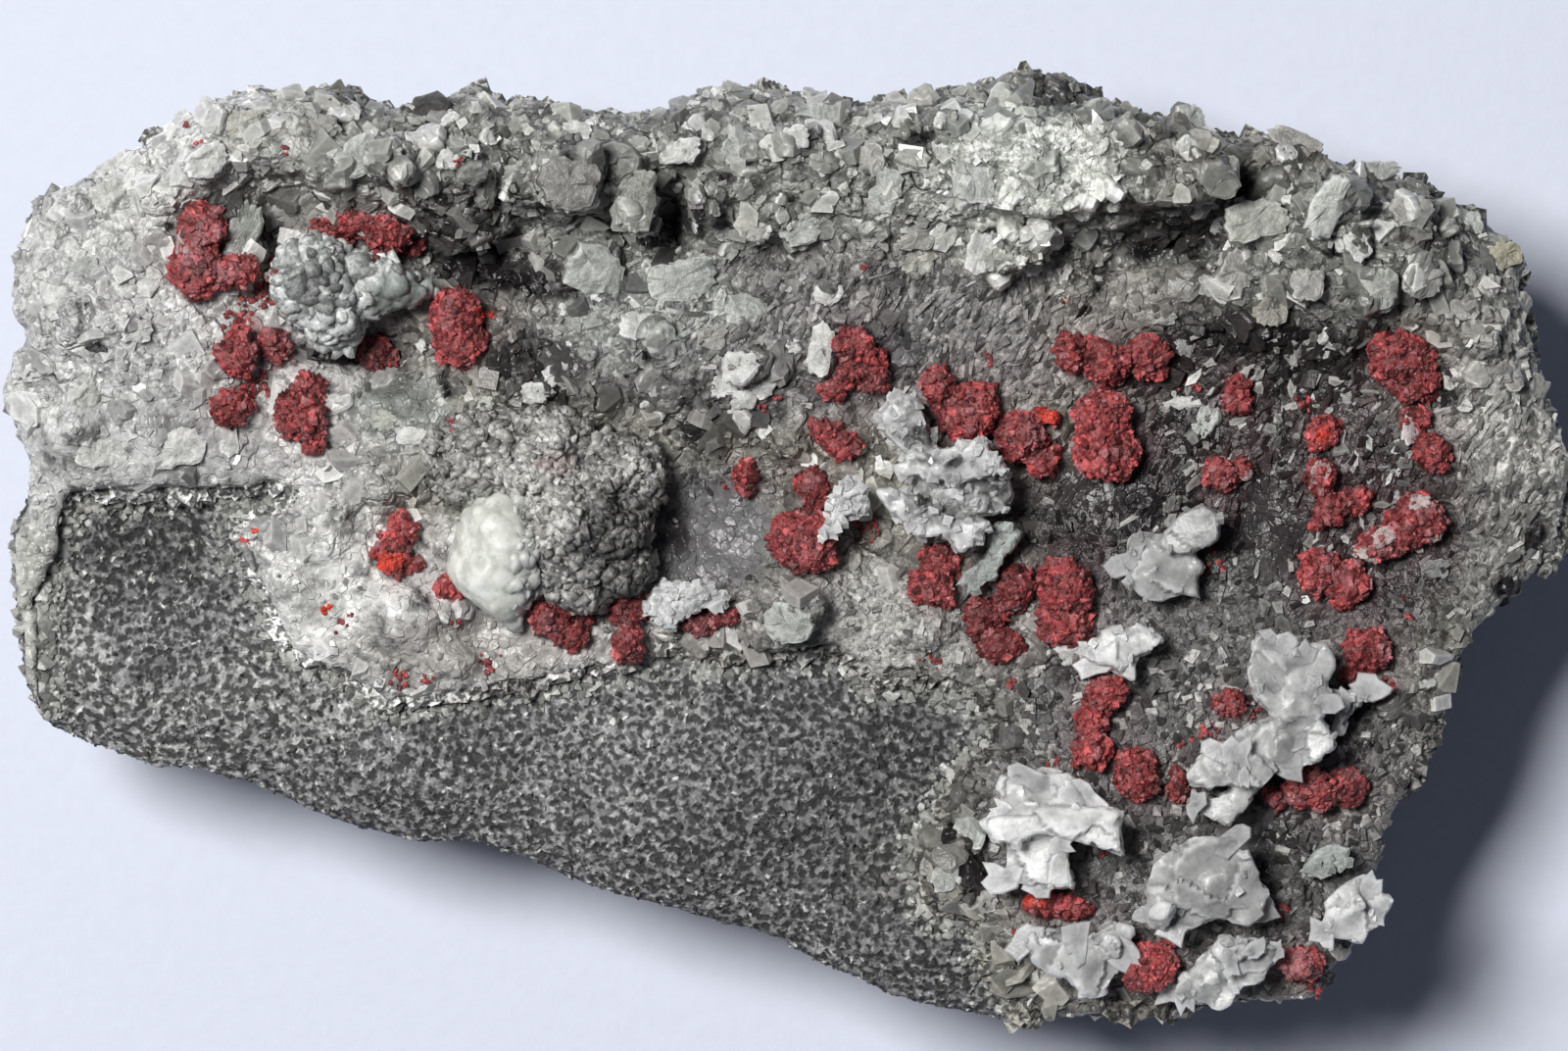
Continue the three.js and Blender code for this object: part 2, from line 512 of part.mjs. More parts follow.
// A flat crystal: a foot that widens upwards to its outline, and a bevelled top that may slope.
function tablet(points, footZ, topZ, footScale, bevel, [slopeX, slopeY] = [0, 0]) {
  const ring = anticlockwise(points);
  const [mx, my] = middleOf(ring);
  const scaled = (scale, z, slope) => ring.map(([px, py]) => {
    const x = (px - mx) * scale;
    const y = (py - my) * scale;
    return [mx + x, my + y, z + slope * (slopeX * x + slopeY * y)];
  });
  return loft([scaled(footScale, footZ, 0), scaled(1, topZ - bevel, 1), scaled(0.9, topZ, 1)]);
}

// ---------------------------------------------------------------- lumps and blades

// Drusy lumps: balls as x, y, height of the middle above the crust, half sizes and turn.
const LUMPS = {
  grey_mound: [
    [-12.2, 1, 1.6, 3.8, 3.4, 3, 0], [-9.6, 4.2, 1.4, 2.8, 2.8, 2.4, 0],
    [-14.2, 5.4, 1, 3.6, 2.8, 2.2, 10], [-17.6, 5.2, 0.6, 2.8, 2.4, 1.8, 0],
    [-9.4, -0.9, 1.4, 2, 2, 2.1, 0], [-11.4, -2.4, 1.2, 1.6, 1.2, 1.6, 0],
  ],
  milky_lump: [[-16.3, -0.6, 1.8, 2.8, 3.5, 3, 12], [-15.4, 1.9, 2, 1.9, 1.6, 2, 0]],
  cauliflower_lump: [
    [-26.6, 14.7, 3.6, 2.6, 2.7, 1.9, 0], [-23.8, 15, 3.6, 2.4, 1.8, 1.7, 0],
    [-21.8, 14.7, 3.4, 1.8, 1.6, 1.5, 0], [-25.6, 12.8, 3, 1.8, 1.4, 1.4, 0],
    [-26.2, 16.9, 3.2, 1.3, 1, 1.2, 0], [-24.8, 14.8, 1.2, 2, 1.6, 3, 0],
  ],
};

function makeLump(balls, seed) {
  return unionOf(balls.map(([x, y, lift, rx, ry, rz, turn], i) => lump(
    [x, y, crustHeight(x, y) + lift], [rx, ry, rz], turn, 0.26, seed + i, rx + ry > 4 ? 1 : 0)));
}

// Bladed crystals: each cluster's tablets as outline points, rise above the crust and foot size, and
// its small rhombs as x, y, rise and size.
const BLADES = {
  white_blades: {
    tablets: [
      [[[5.2, 7.4], [6.2, 8.7], [7.6, 8.7], [8.1, 7.2], [8.7, 5.8], [7.2, 5.1], [5.9, 6.2]], 4.2, 0.7],
      [[[6.2, 4.9], [8.6, 5.6], [10.4, 5.9], [11.5, 6.5], [12.1, 5.2], [12.9, 4.4], [11.4, 4],
        [9.9, 3.4], [8, 4], [6.6, 3.9]], 4.8, 0.7],
      [[[5, 3.4], [6, 3.4], [7.3, 2.7], [8.6, 2.1], [10.2, 1.6], [11.9, 1.4], [11, 0.4],
        [10.2, -0.4], [9.6, 0.7], [7.4, 0.7], [6.4, 1.6]], 4, 0.7],
      [[[7.2, 3.7], [9.8, 3.6], [11.2, 4.1], [12.7, 4.3], [13.1, 3], [12.4, 2.1], [10.8, 1.5],
        [8.8, 2]], 3.2, 0.75],
    ],
    rhombs: [[9, 4.6, 4.8, 1.2], [6.7, 7.6, 4.4, 1.1], [10.8, 1, 3.9, 1.1], [12.2, 3.4, 3.4, 1]],
  },
  white_tuft: {
    tablets: [
      [[[2, 0.6], [2.9, 0.6], [3.2, 1.5], [4.4, 1.8], [5.1, 2.2], [4.6, 3.4], [3.8, 4.1],
        [3.1, 3.4], [2.5, 2.6], [2.5, 1.5]], 4, 0.6],
    ],
    rhombs: [[3.6, 2.8, 3.9, 1.1]],
  },
  glass_plate: {
    tablets: [
      [[[10.9, -2.7], [10.6, -1.9], [11.6, -0.4], [11.7, 0.6], [12.3, 1.6], [13.9, 0.9], [13.2, -0.2],
        [12, -1.7]], 2.4, 0.75],
    ],
    rhombs: [],
  },
  milky_knot: {
    tablets: [
      [[[19.4, -1.2], [19.7, 0.5], [20.2, 0.9], [21.6, 0.9], [22.4, 0.4], [23.6, -0.3], [24.2, -1.2],
        [23.8, -1.8], [24, -3.1], [22.9, -2.7], [21.6, -3.2], [20.4, -2.9], [19.6, -2]], 3, 0.75],
      [[[21.3, 0.2], [22.6, 1.9], [24, 2.6], [24.9, 2], [25, 0.6], [24, -0.2], [22.6, -0.4]], 3.6, 0.7],
    ],
    rhombs: [[20.8, -1.6, 3, 1.3], [24, 1.6, 3.6, 1.1]],
  },
  milky_flake: {
    tablets: [
      [[[17.2, -5.9], [18.2, -4.8], [19.2, -4.4], [19.9, -5], [20.2, -6.4], [20.2, -7.8],
        [19.4, -7.3], [18.7, -6.9], [17.8, -6.9]], 2.2, 0.75],
      [[[19.6, -4.6], [20.2, -4.2], [21, -4.7], [21.9, -5.4], [21, -6.2], [20, -6.4]], 2.8, 0.7],
    ],
    rhombs: [],
  },
  blade_fan: {
    tablets: [
      [[[26.9, -5], [28.2, -5], [28.5, -5.6], [30, -5.6], [31.1, -5.4], [31.7, -6.8], [31.2, -7.6],
        [31.4, -8.5], [30.8, -9.9], [28.7, -10], [27.6, -9.4], [26.8, -8.5], [26.5, -7.2],
        [26.9, -6]], 4.6, 0.6],
      [[[25.8, -10.6], [27.4, -10], [28.4, -9.4], [30.4, -9.6], [31.6, -10.6], [31.6, -11.4],
        [30.6, -12.3], [28.6, -12.9], [27, -12.4], [25.6, -11.6]], 4, 0.65],
      [[[23.1, -12.9], [24.4, -11.4], [25.6, -11], [27, -11.8], [28.2, -12.8], [27.3, -13.9],
        [26.4, -13.8], [25.4, -13.6], [23.2, -13.7]], 4.2, 0.65],
      [[[23, -14.4], [24.6, -14.3], [26.4, -13.6], [27.3, -13.9], [26.2, -15.3], [25.5, -16.2],
        [24.2, -15.3], [23.2, -14.9]], 3.2, 0.7],
    ],
    rhombs: [[28.6, -9.2, 4.6, 1.3], [28.4, -11.4, 4.2, 1.2], [24.8, -12.8, 4.2, 1]],
  },
  side_blades: {
    tablets: [
      [[[31.7, -9.7], [31.9, -8.6], [32.6, -8.2], [33.9, -7.7], [34, -8.2], [33.4, -8.9],
        [32.5, -9.4], [31.9, -10.5]], 2.6, 0.75],
    ],
    rhombs: [],
  },
  blade_spray: {
    tablets: [
      [[[12.2, -13], [14.2, -12.9], [16.2, -12.9], [17.1, -13.7], [18.8, -14.7], [16.2, -15],
        [14.2, -15], [12.3, -14.6]], 3.2, 0.75],
      [[[10.9, -15.6], [12.2, -14.9], [14.8, -14.5], [16.4, -14.8], [19.5, -15], [19.2, -15.9],
        [19.5, -17.6], [18, -17], [16.2, -16.6], [14.4, -16.4], [13, -17.1], [12, -16.9]], 4.6, 0.6],
      [[[12.8, -17.2], [14, -16.3], [15.6, -16.6], [16.4, -17.3], [16.8, -19.6], [14.8, -19.5],
        [12.3, -19.1], [12.8, -18.4]], 3.6, 0.7],
    ],
    rhombs: [[13.2, -14.6, 3.8, 1.3], [15.9, -17.4, 3.6, 1.2], [14, -16, 4.4, 1]],
  },
  rounded_blades: {
    tablets: [
      [[[18.5, -18.9], [19.4, -17.5], [20.6, -17.3], [20.8, -19], [20.4, -21], [19.3, -20.9],
        [18.7, -20]], 3.2, 0.75],
      [[[21.2, -17.9], [22.6, -17], [23.8, -16.5], [25.6, -16.5], [26.6, -17.5], [27.2, -18.8],
        [27.8, -19.9], [27.5, -21], [26.6, -21.7], [24.6, -21.3], [22.8, -22.1], [20.7, -22],
        [20.6, -20]], 3.8, 0.7],
    ],
    rhombs: [
      [23.2, -18, 3.9, 1.6], [24.6, -19.6, 3.8, 1.5], [20, -18.4, 3.2, 1.3], [21.6, -20.8, 3.8, 1.2],
    ],
  },
  lower_blades: {
    tablets: [
      [[[13.7, -22.6], [14.4, -21.7], [16, -21.9], [17.8, -22], [18.8, -21.4], [20.2, -21.8],
        [19.9, -23.4], [19.4, -24.3], [18.3, -25.7], [17, -25.8], [16.2, -24.7], [15.2, -24.4],
        [14.2, -23.6]], 3, 0.75],
    ],
    rhombs: [[15, -22.8, 3, 1.3], [17.4, -24.4, 3, 1.4], [18.7, -22.8, 3, 1]],
  },
  foot_blades: {
    tablets: [
      [[[22.4, -24.9], [23.4, -24], [24.2, -23.4], [24.9, -22.3], [27, -22.4], [28.4, -22.9],
        [28, -23.8], [27.6, -25], [26.4, -25.1], [25.6, -26.3], [24.8, -26.7], [24.2, -26],
        [22.7, -26]], 3, 0.8],
    ],
    rhombs: [[24.2, -25, 3, 1.4], [26.4, -23.8, 3, 1.3]],
  },
  corner_crystal: {
    tablets: [
      [[[31, -20.3], [32.2, -19.4], [33.4, -18.8], [34, -19.6], [34.9, -20.1], [34.6, -21],
        [33.7, -22], [33.2, -22.9], [32.2, -22.5], [30.6, -22.2], [31.1, -21.2]], 4, 0.65],
    ],
    rhombs: [[32.4, -20.9, 4, 1.4]],
  },
  clear_rhomb: {
    tablets: [
      [[[29.7, -18.4], [30.4, -17.4], [31.6, -17], [32.8, -17.2], [32.4, -18.1], [31.2, -18.9],
        [30.1, -19]], 2.4, 0.8],
    ],
    rhombs: [],
  },
  white_chunk: {
    tablets: [
      [[[-7.9, -3.2], [-7, -2], [-5.4, -2.2], [-4.2, -2], [-3.4, -2.6], [-3.6, -3.4],
        [-4.6, -3.7], [-5.6, -3.6], [-6.3, -4.6], [-7.3, -4.5]], 2.6, 0.75],
    ],
    rhombs: [[-5, -2.9, 2.7, 1.1]],
  },
};

function makeBlades({ tablets, rhombs }) {
  const SETTLED = 0.85; // the share of its rise that a blade stands out of the crust
  const sink = 1.2;
  const flats = tablets.map(([points, rise, footScale], i) => {
    const [mx, my] = middleOf(points);
    const ground = crustHeight(mx, my);
    const slope = [0.16 * Math.cos(2.4 * i + mx), 0.16 * Math.sin(2.4 * i + my)];
    return tablet(points, ground - sink, ground + SETTLED * rise, footScale, BEVEL, slope);
  });
  const corners = rhombs.map(([x, y, rise, size], i) => rhomb(
    [x, y, crustHeight(x, y) + SETTLED * rise - 0.25 * size], size, 0.7 + i, 0.4 + 1.3 * i));
  return unionOf([...flats, ...corners]);
}

// ---------------------------------------------------------------- cinnabar

// Balls of each cinnabar cluster: x, y, half length and half width.
const CINNABAR = [
  [[-33.5, 18.3, 1.5, 1.9], [-33.6, 15.9, 1.5, 1.6], [-31.6, 15.8, 1.5, 1], [-32.2, 13.9, 1.3, 0.9]],
  [[-25.8, 18.4, 1.4, 1.1], [-24.3, 19, 1.5, 1.2], [-22.8, 18.4, 1.6, 1.6], [-21.3, 17.7, 1, 1.1]],
  [[-31.4, 11.2, 1.1, 1.3], [-29.6, 11.6, 1.4, 1]],
  [[-31.6, 8, 1.2, 1.1]],
  [[-27.8, 7.7, 1.6, 1.5], [-27, 6.1, 0.9, 0.7], [-27.4, 9.2, 1.2, 0.7]],
  [[-18.8, 13.2, 1.5, 1.5], [-18.4, 11.8, 1.7, 1.4]],
  [[-23.6, 11.2, 1.3, 1], [-23.6, 9.9, 0.9, 0.7], [-22.4, 11, 0.8, 1]],
  [[-22.6, -0.4, 1.15, 1.3], [-21.8, 1.2, 0.9, 1], [-21.1, -0.9, 0.6, 0.6]],
  [[-19.5, -2.3, 0.8, 0.6], [-18.9, -2.8, 0.7, 0.6]],
  [[-13.4, -4.2, 1.2, 1.1], [-12.2, -5.1, 1, 0.9], [-11.3, -3.9, 0.9, 0.7]],
  [[-8.8, -3.6, 1.1, 1.1], [-9, -5.4, 0.9, 1.2]],
  [[-4.8, -4.5, 1.2, 0.7], [-3.2, -3.9, 1.2, 0.8], [-2.2, -2.6, 0.6, 0.6]],
  [[3.9, 11.6, 1.1, 1.1], [3.7, 10.3, 1.1, 1.1], [2.8, 9.2, 1, 0.8], [5.1, 10.2, 1.1, 1.3]],
  [[-2.2, 3.9, 0.75, 1.2]],
  [[2.2, 6.9, 0.9, 0.8], [3.4, 5.9, 1.1, 0.8], [4.6, 4.9, 0.8, 0.7]],
  [[1.5, 3.5, 0.8, 1.4], [1.1, 0.3, 2, 1.6], [1.5, 1.9, 0.9, 0.8]],
  [[8.9, 9.2, 1.1, 1.4], [10.6, 7.9, 1.8, 1.7], [9.5, 7.7, 1, 1.2]],
  [[15.1, 7.5, 0.8, 0.5], [15, 5, 0.9, 1], [13.6, 6.3, 1.5, 1.5]],
  [[16.4, 11.2, 1.05, 1.3], [18.6, 10.6, 1.3, 1.2], [21, 11, 1.4, 1.2], [17.6, 11.5, 0.6, 0.7]],
  [[18.3, 7.6, 1.7, 1.6], [18.4, 5.6, 1.9, 1.8]],
  [[8.9, -0.7, 1.3, 1.1], [8.4, -2.3, 1.5, 1.1]],
  [[13.2, -2.2, 1.1, 1.4], [11.4, -4, 1.5, 1.2], [12.4, -5.7, 1.5, 1.1]],
  [[16.2, -2.3, 1.6, 1.7], [16, -4.2, 1.7, 1.7]],
  [[18.4, -8.4, 1.35, 1.1], [17.6, -10, 1.1, 1], [17.6, -11.6, 1.2, 1]],
  [[20.2, -13, 1.35, 1.4]],
  [[26.2, 9.3, 1, 0.9], [26, 8.3, 0.9, 0.7]],
  [[25.1, 4.2, 1, 1.1], [26.2, 4.4, 0.7, 0.8]],
  [[31.1, 6.6, 1.05, 1.1]],
  [[35.4, 11, 1.9, 1.6], [36.2, 9.4, 1.7, 1.2]],
  [[36.3, 7.3, 0.8, 0.9], [37.2, 5.6, 1.2, 1.1]],
  [[30.8, 4, 0.95, 1.2], [31.3, 2, 1.3, 1], [33, 2.6, 0.85, 0.8]],
  [[36.4, 1.6, 1.8, 1.5], [34.4, 0.2, 1.6, 0.9], [38, 0.3, 0.8, 0.6]],
  [[30.9, -1.5, 1.3, 1.5], [32.5, -2.2, 1.1, 1.5], [30.7, -4, 1, 1]],
  [[33.6, -6, 1.4, 1.3], [32.6, -7.2, 0.8, 0.6]],
  [[25.6, -8.9, 0.9, 0.9]],
  [[22.6, -13.6, 0.6, 1.1], [22.4, -15.6, 0.7, 1]],
  [[30.2, -13.9, 1.5, 1.3], [32.2, -13.9, 1.4, 1.1], [28.4, -14.3, 0.9, 0.7]],
  [[14.7, -20.5, 0.95, 0.8], [17, -20.6, 1.2, 0.8], [15.8, -20.6, 0.8, 0.6]],
  [[21, -24.1, 1.6, 1.4]],
  [[29.8, -23.9, 1.3, 1]],
];

function makeCinnabar(balls, seed) {
  return unionOf(balls.map(([x, y, rx, ry], i) => {
    const rz = 0.45 * (rx + ry);
    const detail = rx + ry > 2.7 ? 1 : 0;
    const size = detail ? 1 : 1.12;
    return lump([x, y, crustHeight(x, y) + 0.5 * rz], [rx * size, ry * size, rz * size], 0, 0.25,
      seed + i, detail);
  }));
}

// ---------------------------------------------------------------- the specimen

const MATERIALS = {
  sandstone: new THREE.MeshStandardMaterial({ color: '#767676', roughness: 0.95, metalness: 0 }),
  druse: new THREE.MeshStandardMaterial({ color: '#a8a8a2', roughness: 0.55, metalness: 0 }),
  milky: new THREE.MeshStandardMaterial({ color: '#d2d4ce', roughness: 0.4, metalness: 0 }),
  cinnabar: new THREE.MeshStandardMaterial({ color: '#a83238', roughness: 0.5, metalness: 0 }),
};

const specimen = new THREE.Group();
specimen.name = 'cinnabar_on_matrix';
const placed = [];

// Adds a piece as a named mesh, cut back from everything that is already there.
function place(name, solid, material) {
  const cleared = placed.reduce((rest, other, i) => keepClear(rest, other, i < 2), solid);
  const body = mainBody(cleared, FINEST);
  placed.push(body);
  const mesh = new THREE.Mesh(geometryOf(body), material);
  mesh.name = name;
  specimen.add(mesh);
}

place('matrix', makeMatrix(), MATERIALS.sandstone);
place('druse_crust', makeCrust(), MATERIALS.druse);
Object.entries(LUMPS).forEach(([name, form], i) => {
  const material = name === 'milky_lump' ? MATERIALS.milky : MATERIALS.druse;
  place(name, makeLump(form, 200 + 10 * i), material);
});
Object.entries(BLADES).forEach(([name, form]) => place(name, makeBlades(form), MATERIALS.milky));
CINNABAR.forEach((balls, i) => {
  const number = String(i + 1).padStart(2, '0');
  place(`cinnabar_${number}`, makeCinnabar(balls, 300 + 10 * i), MATERIALS.cinnabar);
});

export default specimen;
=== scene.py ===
"""Dresses a hand specimen of cinnabar on matrix: bare sandstone, its crust of druse, the lumps
and milky blades on it, and the balls of red cinnabar.  Lengths are millimetres until a mesh is built."""

import math

import bmesh
import bpy
import numpy as np
from bpy.props import FloatProperty, FloatVectorProperty, IntProperty, PointerProperty
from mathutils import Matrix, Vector
from mathutils.bvhtree import BVHTree
from mathutils.kdtree import KDTree


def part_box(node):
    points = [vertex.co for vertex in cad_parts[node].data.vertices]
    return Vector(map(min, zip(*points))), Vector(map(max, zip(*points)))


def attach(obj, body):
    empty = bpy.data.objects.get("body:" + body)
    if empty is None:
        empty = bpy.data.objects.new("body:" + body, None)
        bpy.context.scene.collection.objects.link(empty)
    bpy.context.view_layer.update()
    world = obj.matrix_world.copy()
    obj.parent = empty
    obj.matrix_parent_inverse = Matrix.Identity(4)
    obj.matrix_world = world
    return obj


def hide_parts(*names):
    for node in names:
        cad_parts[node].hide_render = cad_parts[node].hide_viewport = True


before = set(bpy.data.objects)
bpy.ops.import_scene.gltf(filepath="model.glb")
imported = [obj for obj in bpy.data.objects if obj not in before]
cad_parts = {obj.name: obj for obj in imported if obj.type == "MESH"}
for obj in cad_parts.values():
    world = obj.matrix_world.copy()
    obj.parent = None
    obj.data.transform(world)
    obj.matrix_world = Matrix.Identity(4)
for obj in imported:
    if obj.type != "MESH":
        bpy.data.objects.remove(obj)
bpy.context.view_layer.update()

bl_info = {
    "name": "Cinnabar on Matrix",
    "version": (1, 0, 0),
    "blender": (4, 5, 0),
    "location": "3D Viewport > Sidebar > Specimen",
    "description": "Grows sandstone, druse, milky blades and cinnabar on the solids of a hand specimen",
    "category": "Add Mesh",
}

MM = 0.001
BLADES = ("white_blades", "white_tuft", "glass_plate", "milky_knot", "milky_flake", "blade_fan",
          "side_blades", "blade_spray", "rounded_blades", "lower_blades", "foot_blades",
          "corner_crystal", "clear_rhomb", "white_chunk")
CLEAR_BLADES = ("glass_plate", "clear_rhomb")
CRUSTY_BLADES = ("white_blades", "white_tuft", "white_chunk")
WHITER_BLADES = ("blade_spray", "milky_flake", "corner_crystal", *CRUSTY_BLADES)
# How light these clusters are beside the rest.
BLADE_SHADES = {"milky_knot": 0.8, "blade_spray": 1.06, "white_blades": 0.94, "blade_fan": 0.92,
                "rounded_blades": 0.9}
STONE_TOP = 16.2
CINNABARS = tuple(name for name in sorted(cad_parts) if name.startswith("cinnabar_"))


def rgb(red, green, blue):
    """A colour given by its display values from 0 to 255, as the linear light that shaders use."""
    shown = np.array((red, green, blue)) / 255
    return np.where(shown <= 0.04045, shown / 12.92, ((shown + 0.055) / 1.055) ** 2.4)


# Areas of colour, each x, y, half length, half width and the colour there; a later one lies on top.
CRUST_TINTS = (
    (-36, 8, 13, 19, rgb(206, 206, 204)), (-33, 22, 6, 4, rgb(250, 250, 247)),
    (-8, 21, 28, 7, rgb(175, 175, 170)), (14, 21.5, 6, 4.5, rgb(226, 229, 221)),
    (31, 17, 12, 5, rgb(155, 155, 150)), (42, 6, 4.4, 12, rgb(177, 176, 171)),
    (2, 12, 19, 5, rgb(139, 137, 135)), (20, 14, 6, 2.4, rgb(150, 147, 142)),
    (27, 1, 13.5, 9.5, rgb(50, 45, 46)), (27, 10.4, 9, 3, rgb(53, 49, 49)),
    (24, -14, 14, 12, rgb(108, 107, 106)), (28.5, -11, 4, 3.4, rgb(104, 99, 98)),
    (36, -21.5, 3, 2, rgb(92, 88, 87)), (-19.5, -4, 14, 5.4, rgb(230, 230, 227)),
    (-18.5, -5.8, 7, 2.4, rgb(182, 179, 175)), (6, -4.6, 9, 3.6, rgb(172, 171, 167)),
    (-4.5, 0.6, 4.6, 4.2, rgb(107, 106, 107)), (-8, 13.5, 5, 3.5, rgb(166, 168, 164)),
    (12.8, 16.8, 2.8, 1.8, rgb(224, 225, 216)), (-22, 8, 3, 2.6, rgb(136, 139, 135)),
    (6, 11.4, 1.6, 1.5, rgb(112, 113, 114)), (-44, -4, 2, 7, rgb(206, 206, 200)),
)
# Areas, each x, y, half length and half width: dark stains, and painted shadow where overhangs, lumps and
# blades shade the crust; then holes, painted darker still as the shade in them.
DARK_AREAS = (
    (-18, 18.6, 3, 2.3), (-16, 15.8, 4.2, 1.5), (-29.2, 18.6, 0.8, 2), (-6.8, 18.6, 0.8, 2.6),
    (-14.5, 10, 2.4, 2), (22.4, 17.8, 3, 1.4), (36.5, 17.5, 1.5, 0.5), (-25, 11.4, 3.4, 0.8),
    (-14.2, 9.8, 1.8, 2.3), (-13, 15.4, 1.8, 1), (-18.4, 15.6, 2.4, 1.3), (-19.5, 9.5, 0.3, 1.1),
    (-7.4, 1, 1.8, 2.2), (15, 1, 2.2, 1.2), (28.5, -17.5, 1.8, 1.6), (33, -10.8, 1.2, 1.4),
    (-5, 7.5, 1.2, 2.4), (-10, -1.8, 1.8, 2.4), (20.5, 1.6, 1.2, 2.6), (11, -17.8, 0.7, 2.4),
    (15.6, 25.9, 2.2, 1.6), (-36, -1.5, 5.5, 2.8),
)
HOLES = (
    (-9.9, 18.4, 0.7, 0.45), (-4.8, 18.8, 0.35, 1.3), (-3.5, 21.1, 0.45, 0.35), (0.4, 19.9, 0.3, 0.3),
    (-7.8, 10.8, 0.35, 0.3), (12.4, 18.1, 1.3, 0.3), (20.7, 17, 1, 0.6), (23.2, 18.4, 2, 0.35),
    (26.3, 20.8, 0.6, 0.8), (31.6, 17, 0.8, 0.4), (-6.3, 19.2, 0.4, 1.6), (-32.6, 19.9, 0.8, 0.4),
    (-24.6, 11.4, 2.8, 0.4), (-29.2, 19.2, 0.35, 1.8), (-12.4, 21.6, 0.4, 0.9), (-20.4, 24.4, 0.3, 0.9),
    (-10.2, -3.2, 1.2, 0.6), (9.6, -16.6, 0.3, 0.9), (11, -19, 0.35, 0.8), (7.7, 23.4, 0.9, 0.5),
    (33.4, 12.6, 1.4, 0.3), (38, 9.4, 0.4, 1.2), (-39.4, 11.4, 0.5, 0.3), (-17.6, 16, 2.6, 1.2),
    (-15.4, 15.2, 1.8, 0.7), (-24.6, 11.1, 3, 0.7), (-19.4, 9.4, 0.25, 0.9), (-35.2, 18.4, 0.4, 0.3),
    (41.8, -2.4, 1.2, 0.6), (43.2, 0.6, 0.7, 1.2), (17, 13.6, 0.8, 0.25),
)
# The small red specks, each x, y and half width.
RED_SPECKS = (
    (-19.1, 7.1, 0.5), (-9.05, 12.5, 0.35), (-18.8, -4.3, 0.35), (-26.3, -3.6, 0.45), (-25.5, -4.6, 0.4),
    (-24.9, -3.9, 0.25), (-30.9, 0.3, 0.35), (-30.4, 0.9, 0.3), (-17, -6.7, 0.6), (-22.2, -7.6, 0.6),
    (-20.6, -7.5, 0.45), (-18.6, 21.8, 0.4), (-2, 7.2, 0.35), (-1.2, 8, 0.35), (-0.4, 8.6, 0.3),
    (8.6, -6.7, 0.6), (13.3, -8, 0.5), (23.4, 9.3, 0.5), (30, 8.3, 0.7), (24.4, -10.7, 0.7),
    (23.2, -11.4, 0.5), (24.9, -1.1, 0.6), (28.5, -21, 0.6), (30.6, -25.3, 0.7), (18.4, -17.6, 0.35),
    (15.6, -12.5, 0.4), (9.4, -20.5, 0.25), (16.3, 14.1, 0.25), (11.8, 10.9, 0.45), (4.6, 16.2, 0.3),
    (-34.4, 24.1, 0.3), (-33.6, 22.9, 0.3), (-28.4, 22.8, 0.3), (10.3, -1.3, 0.7), (34.5, -8.2, 0.7),
    (4.8, 1.1, 0.8), (-23.2, 16.9, 0.8), (-30, 14.7, 1.1), (-29.3, 15.5, 0.8), (-31.3, 12.9, 0.9),
    (-30.6, 9.4, 1.1), (13.3, -22.2, 0.4), (-17.9, 12.4, 0.8), (-16.9, 13.4, 0.5), (1.2, 1.4, 0.8),
    (2.2, 3.8, 0.6), (27.2, -9.4, 0.6), (29.4, -11.6, 0.5), (31.2, -8.8, 0.7), (30, -9.6, 0.5),
    (36, -4, 0.3), (35.5, -3, 0.25), (-3.4, 3.4, 0.35),
)
GREENISH, CLOUDY, WHITE = rgb(203, 206, 201), rgb(190, 189, 184), rgb(238, 238, 234)
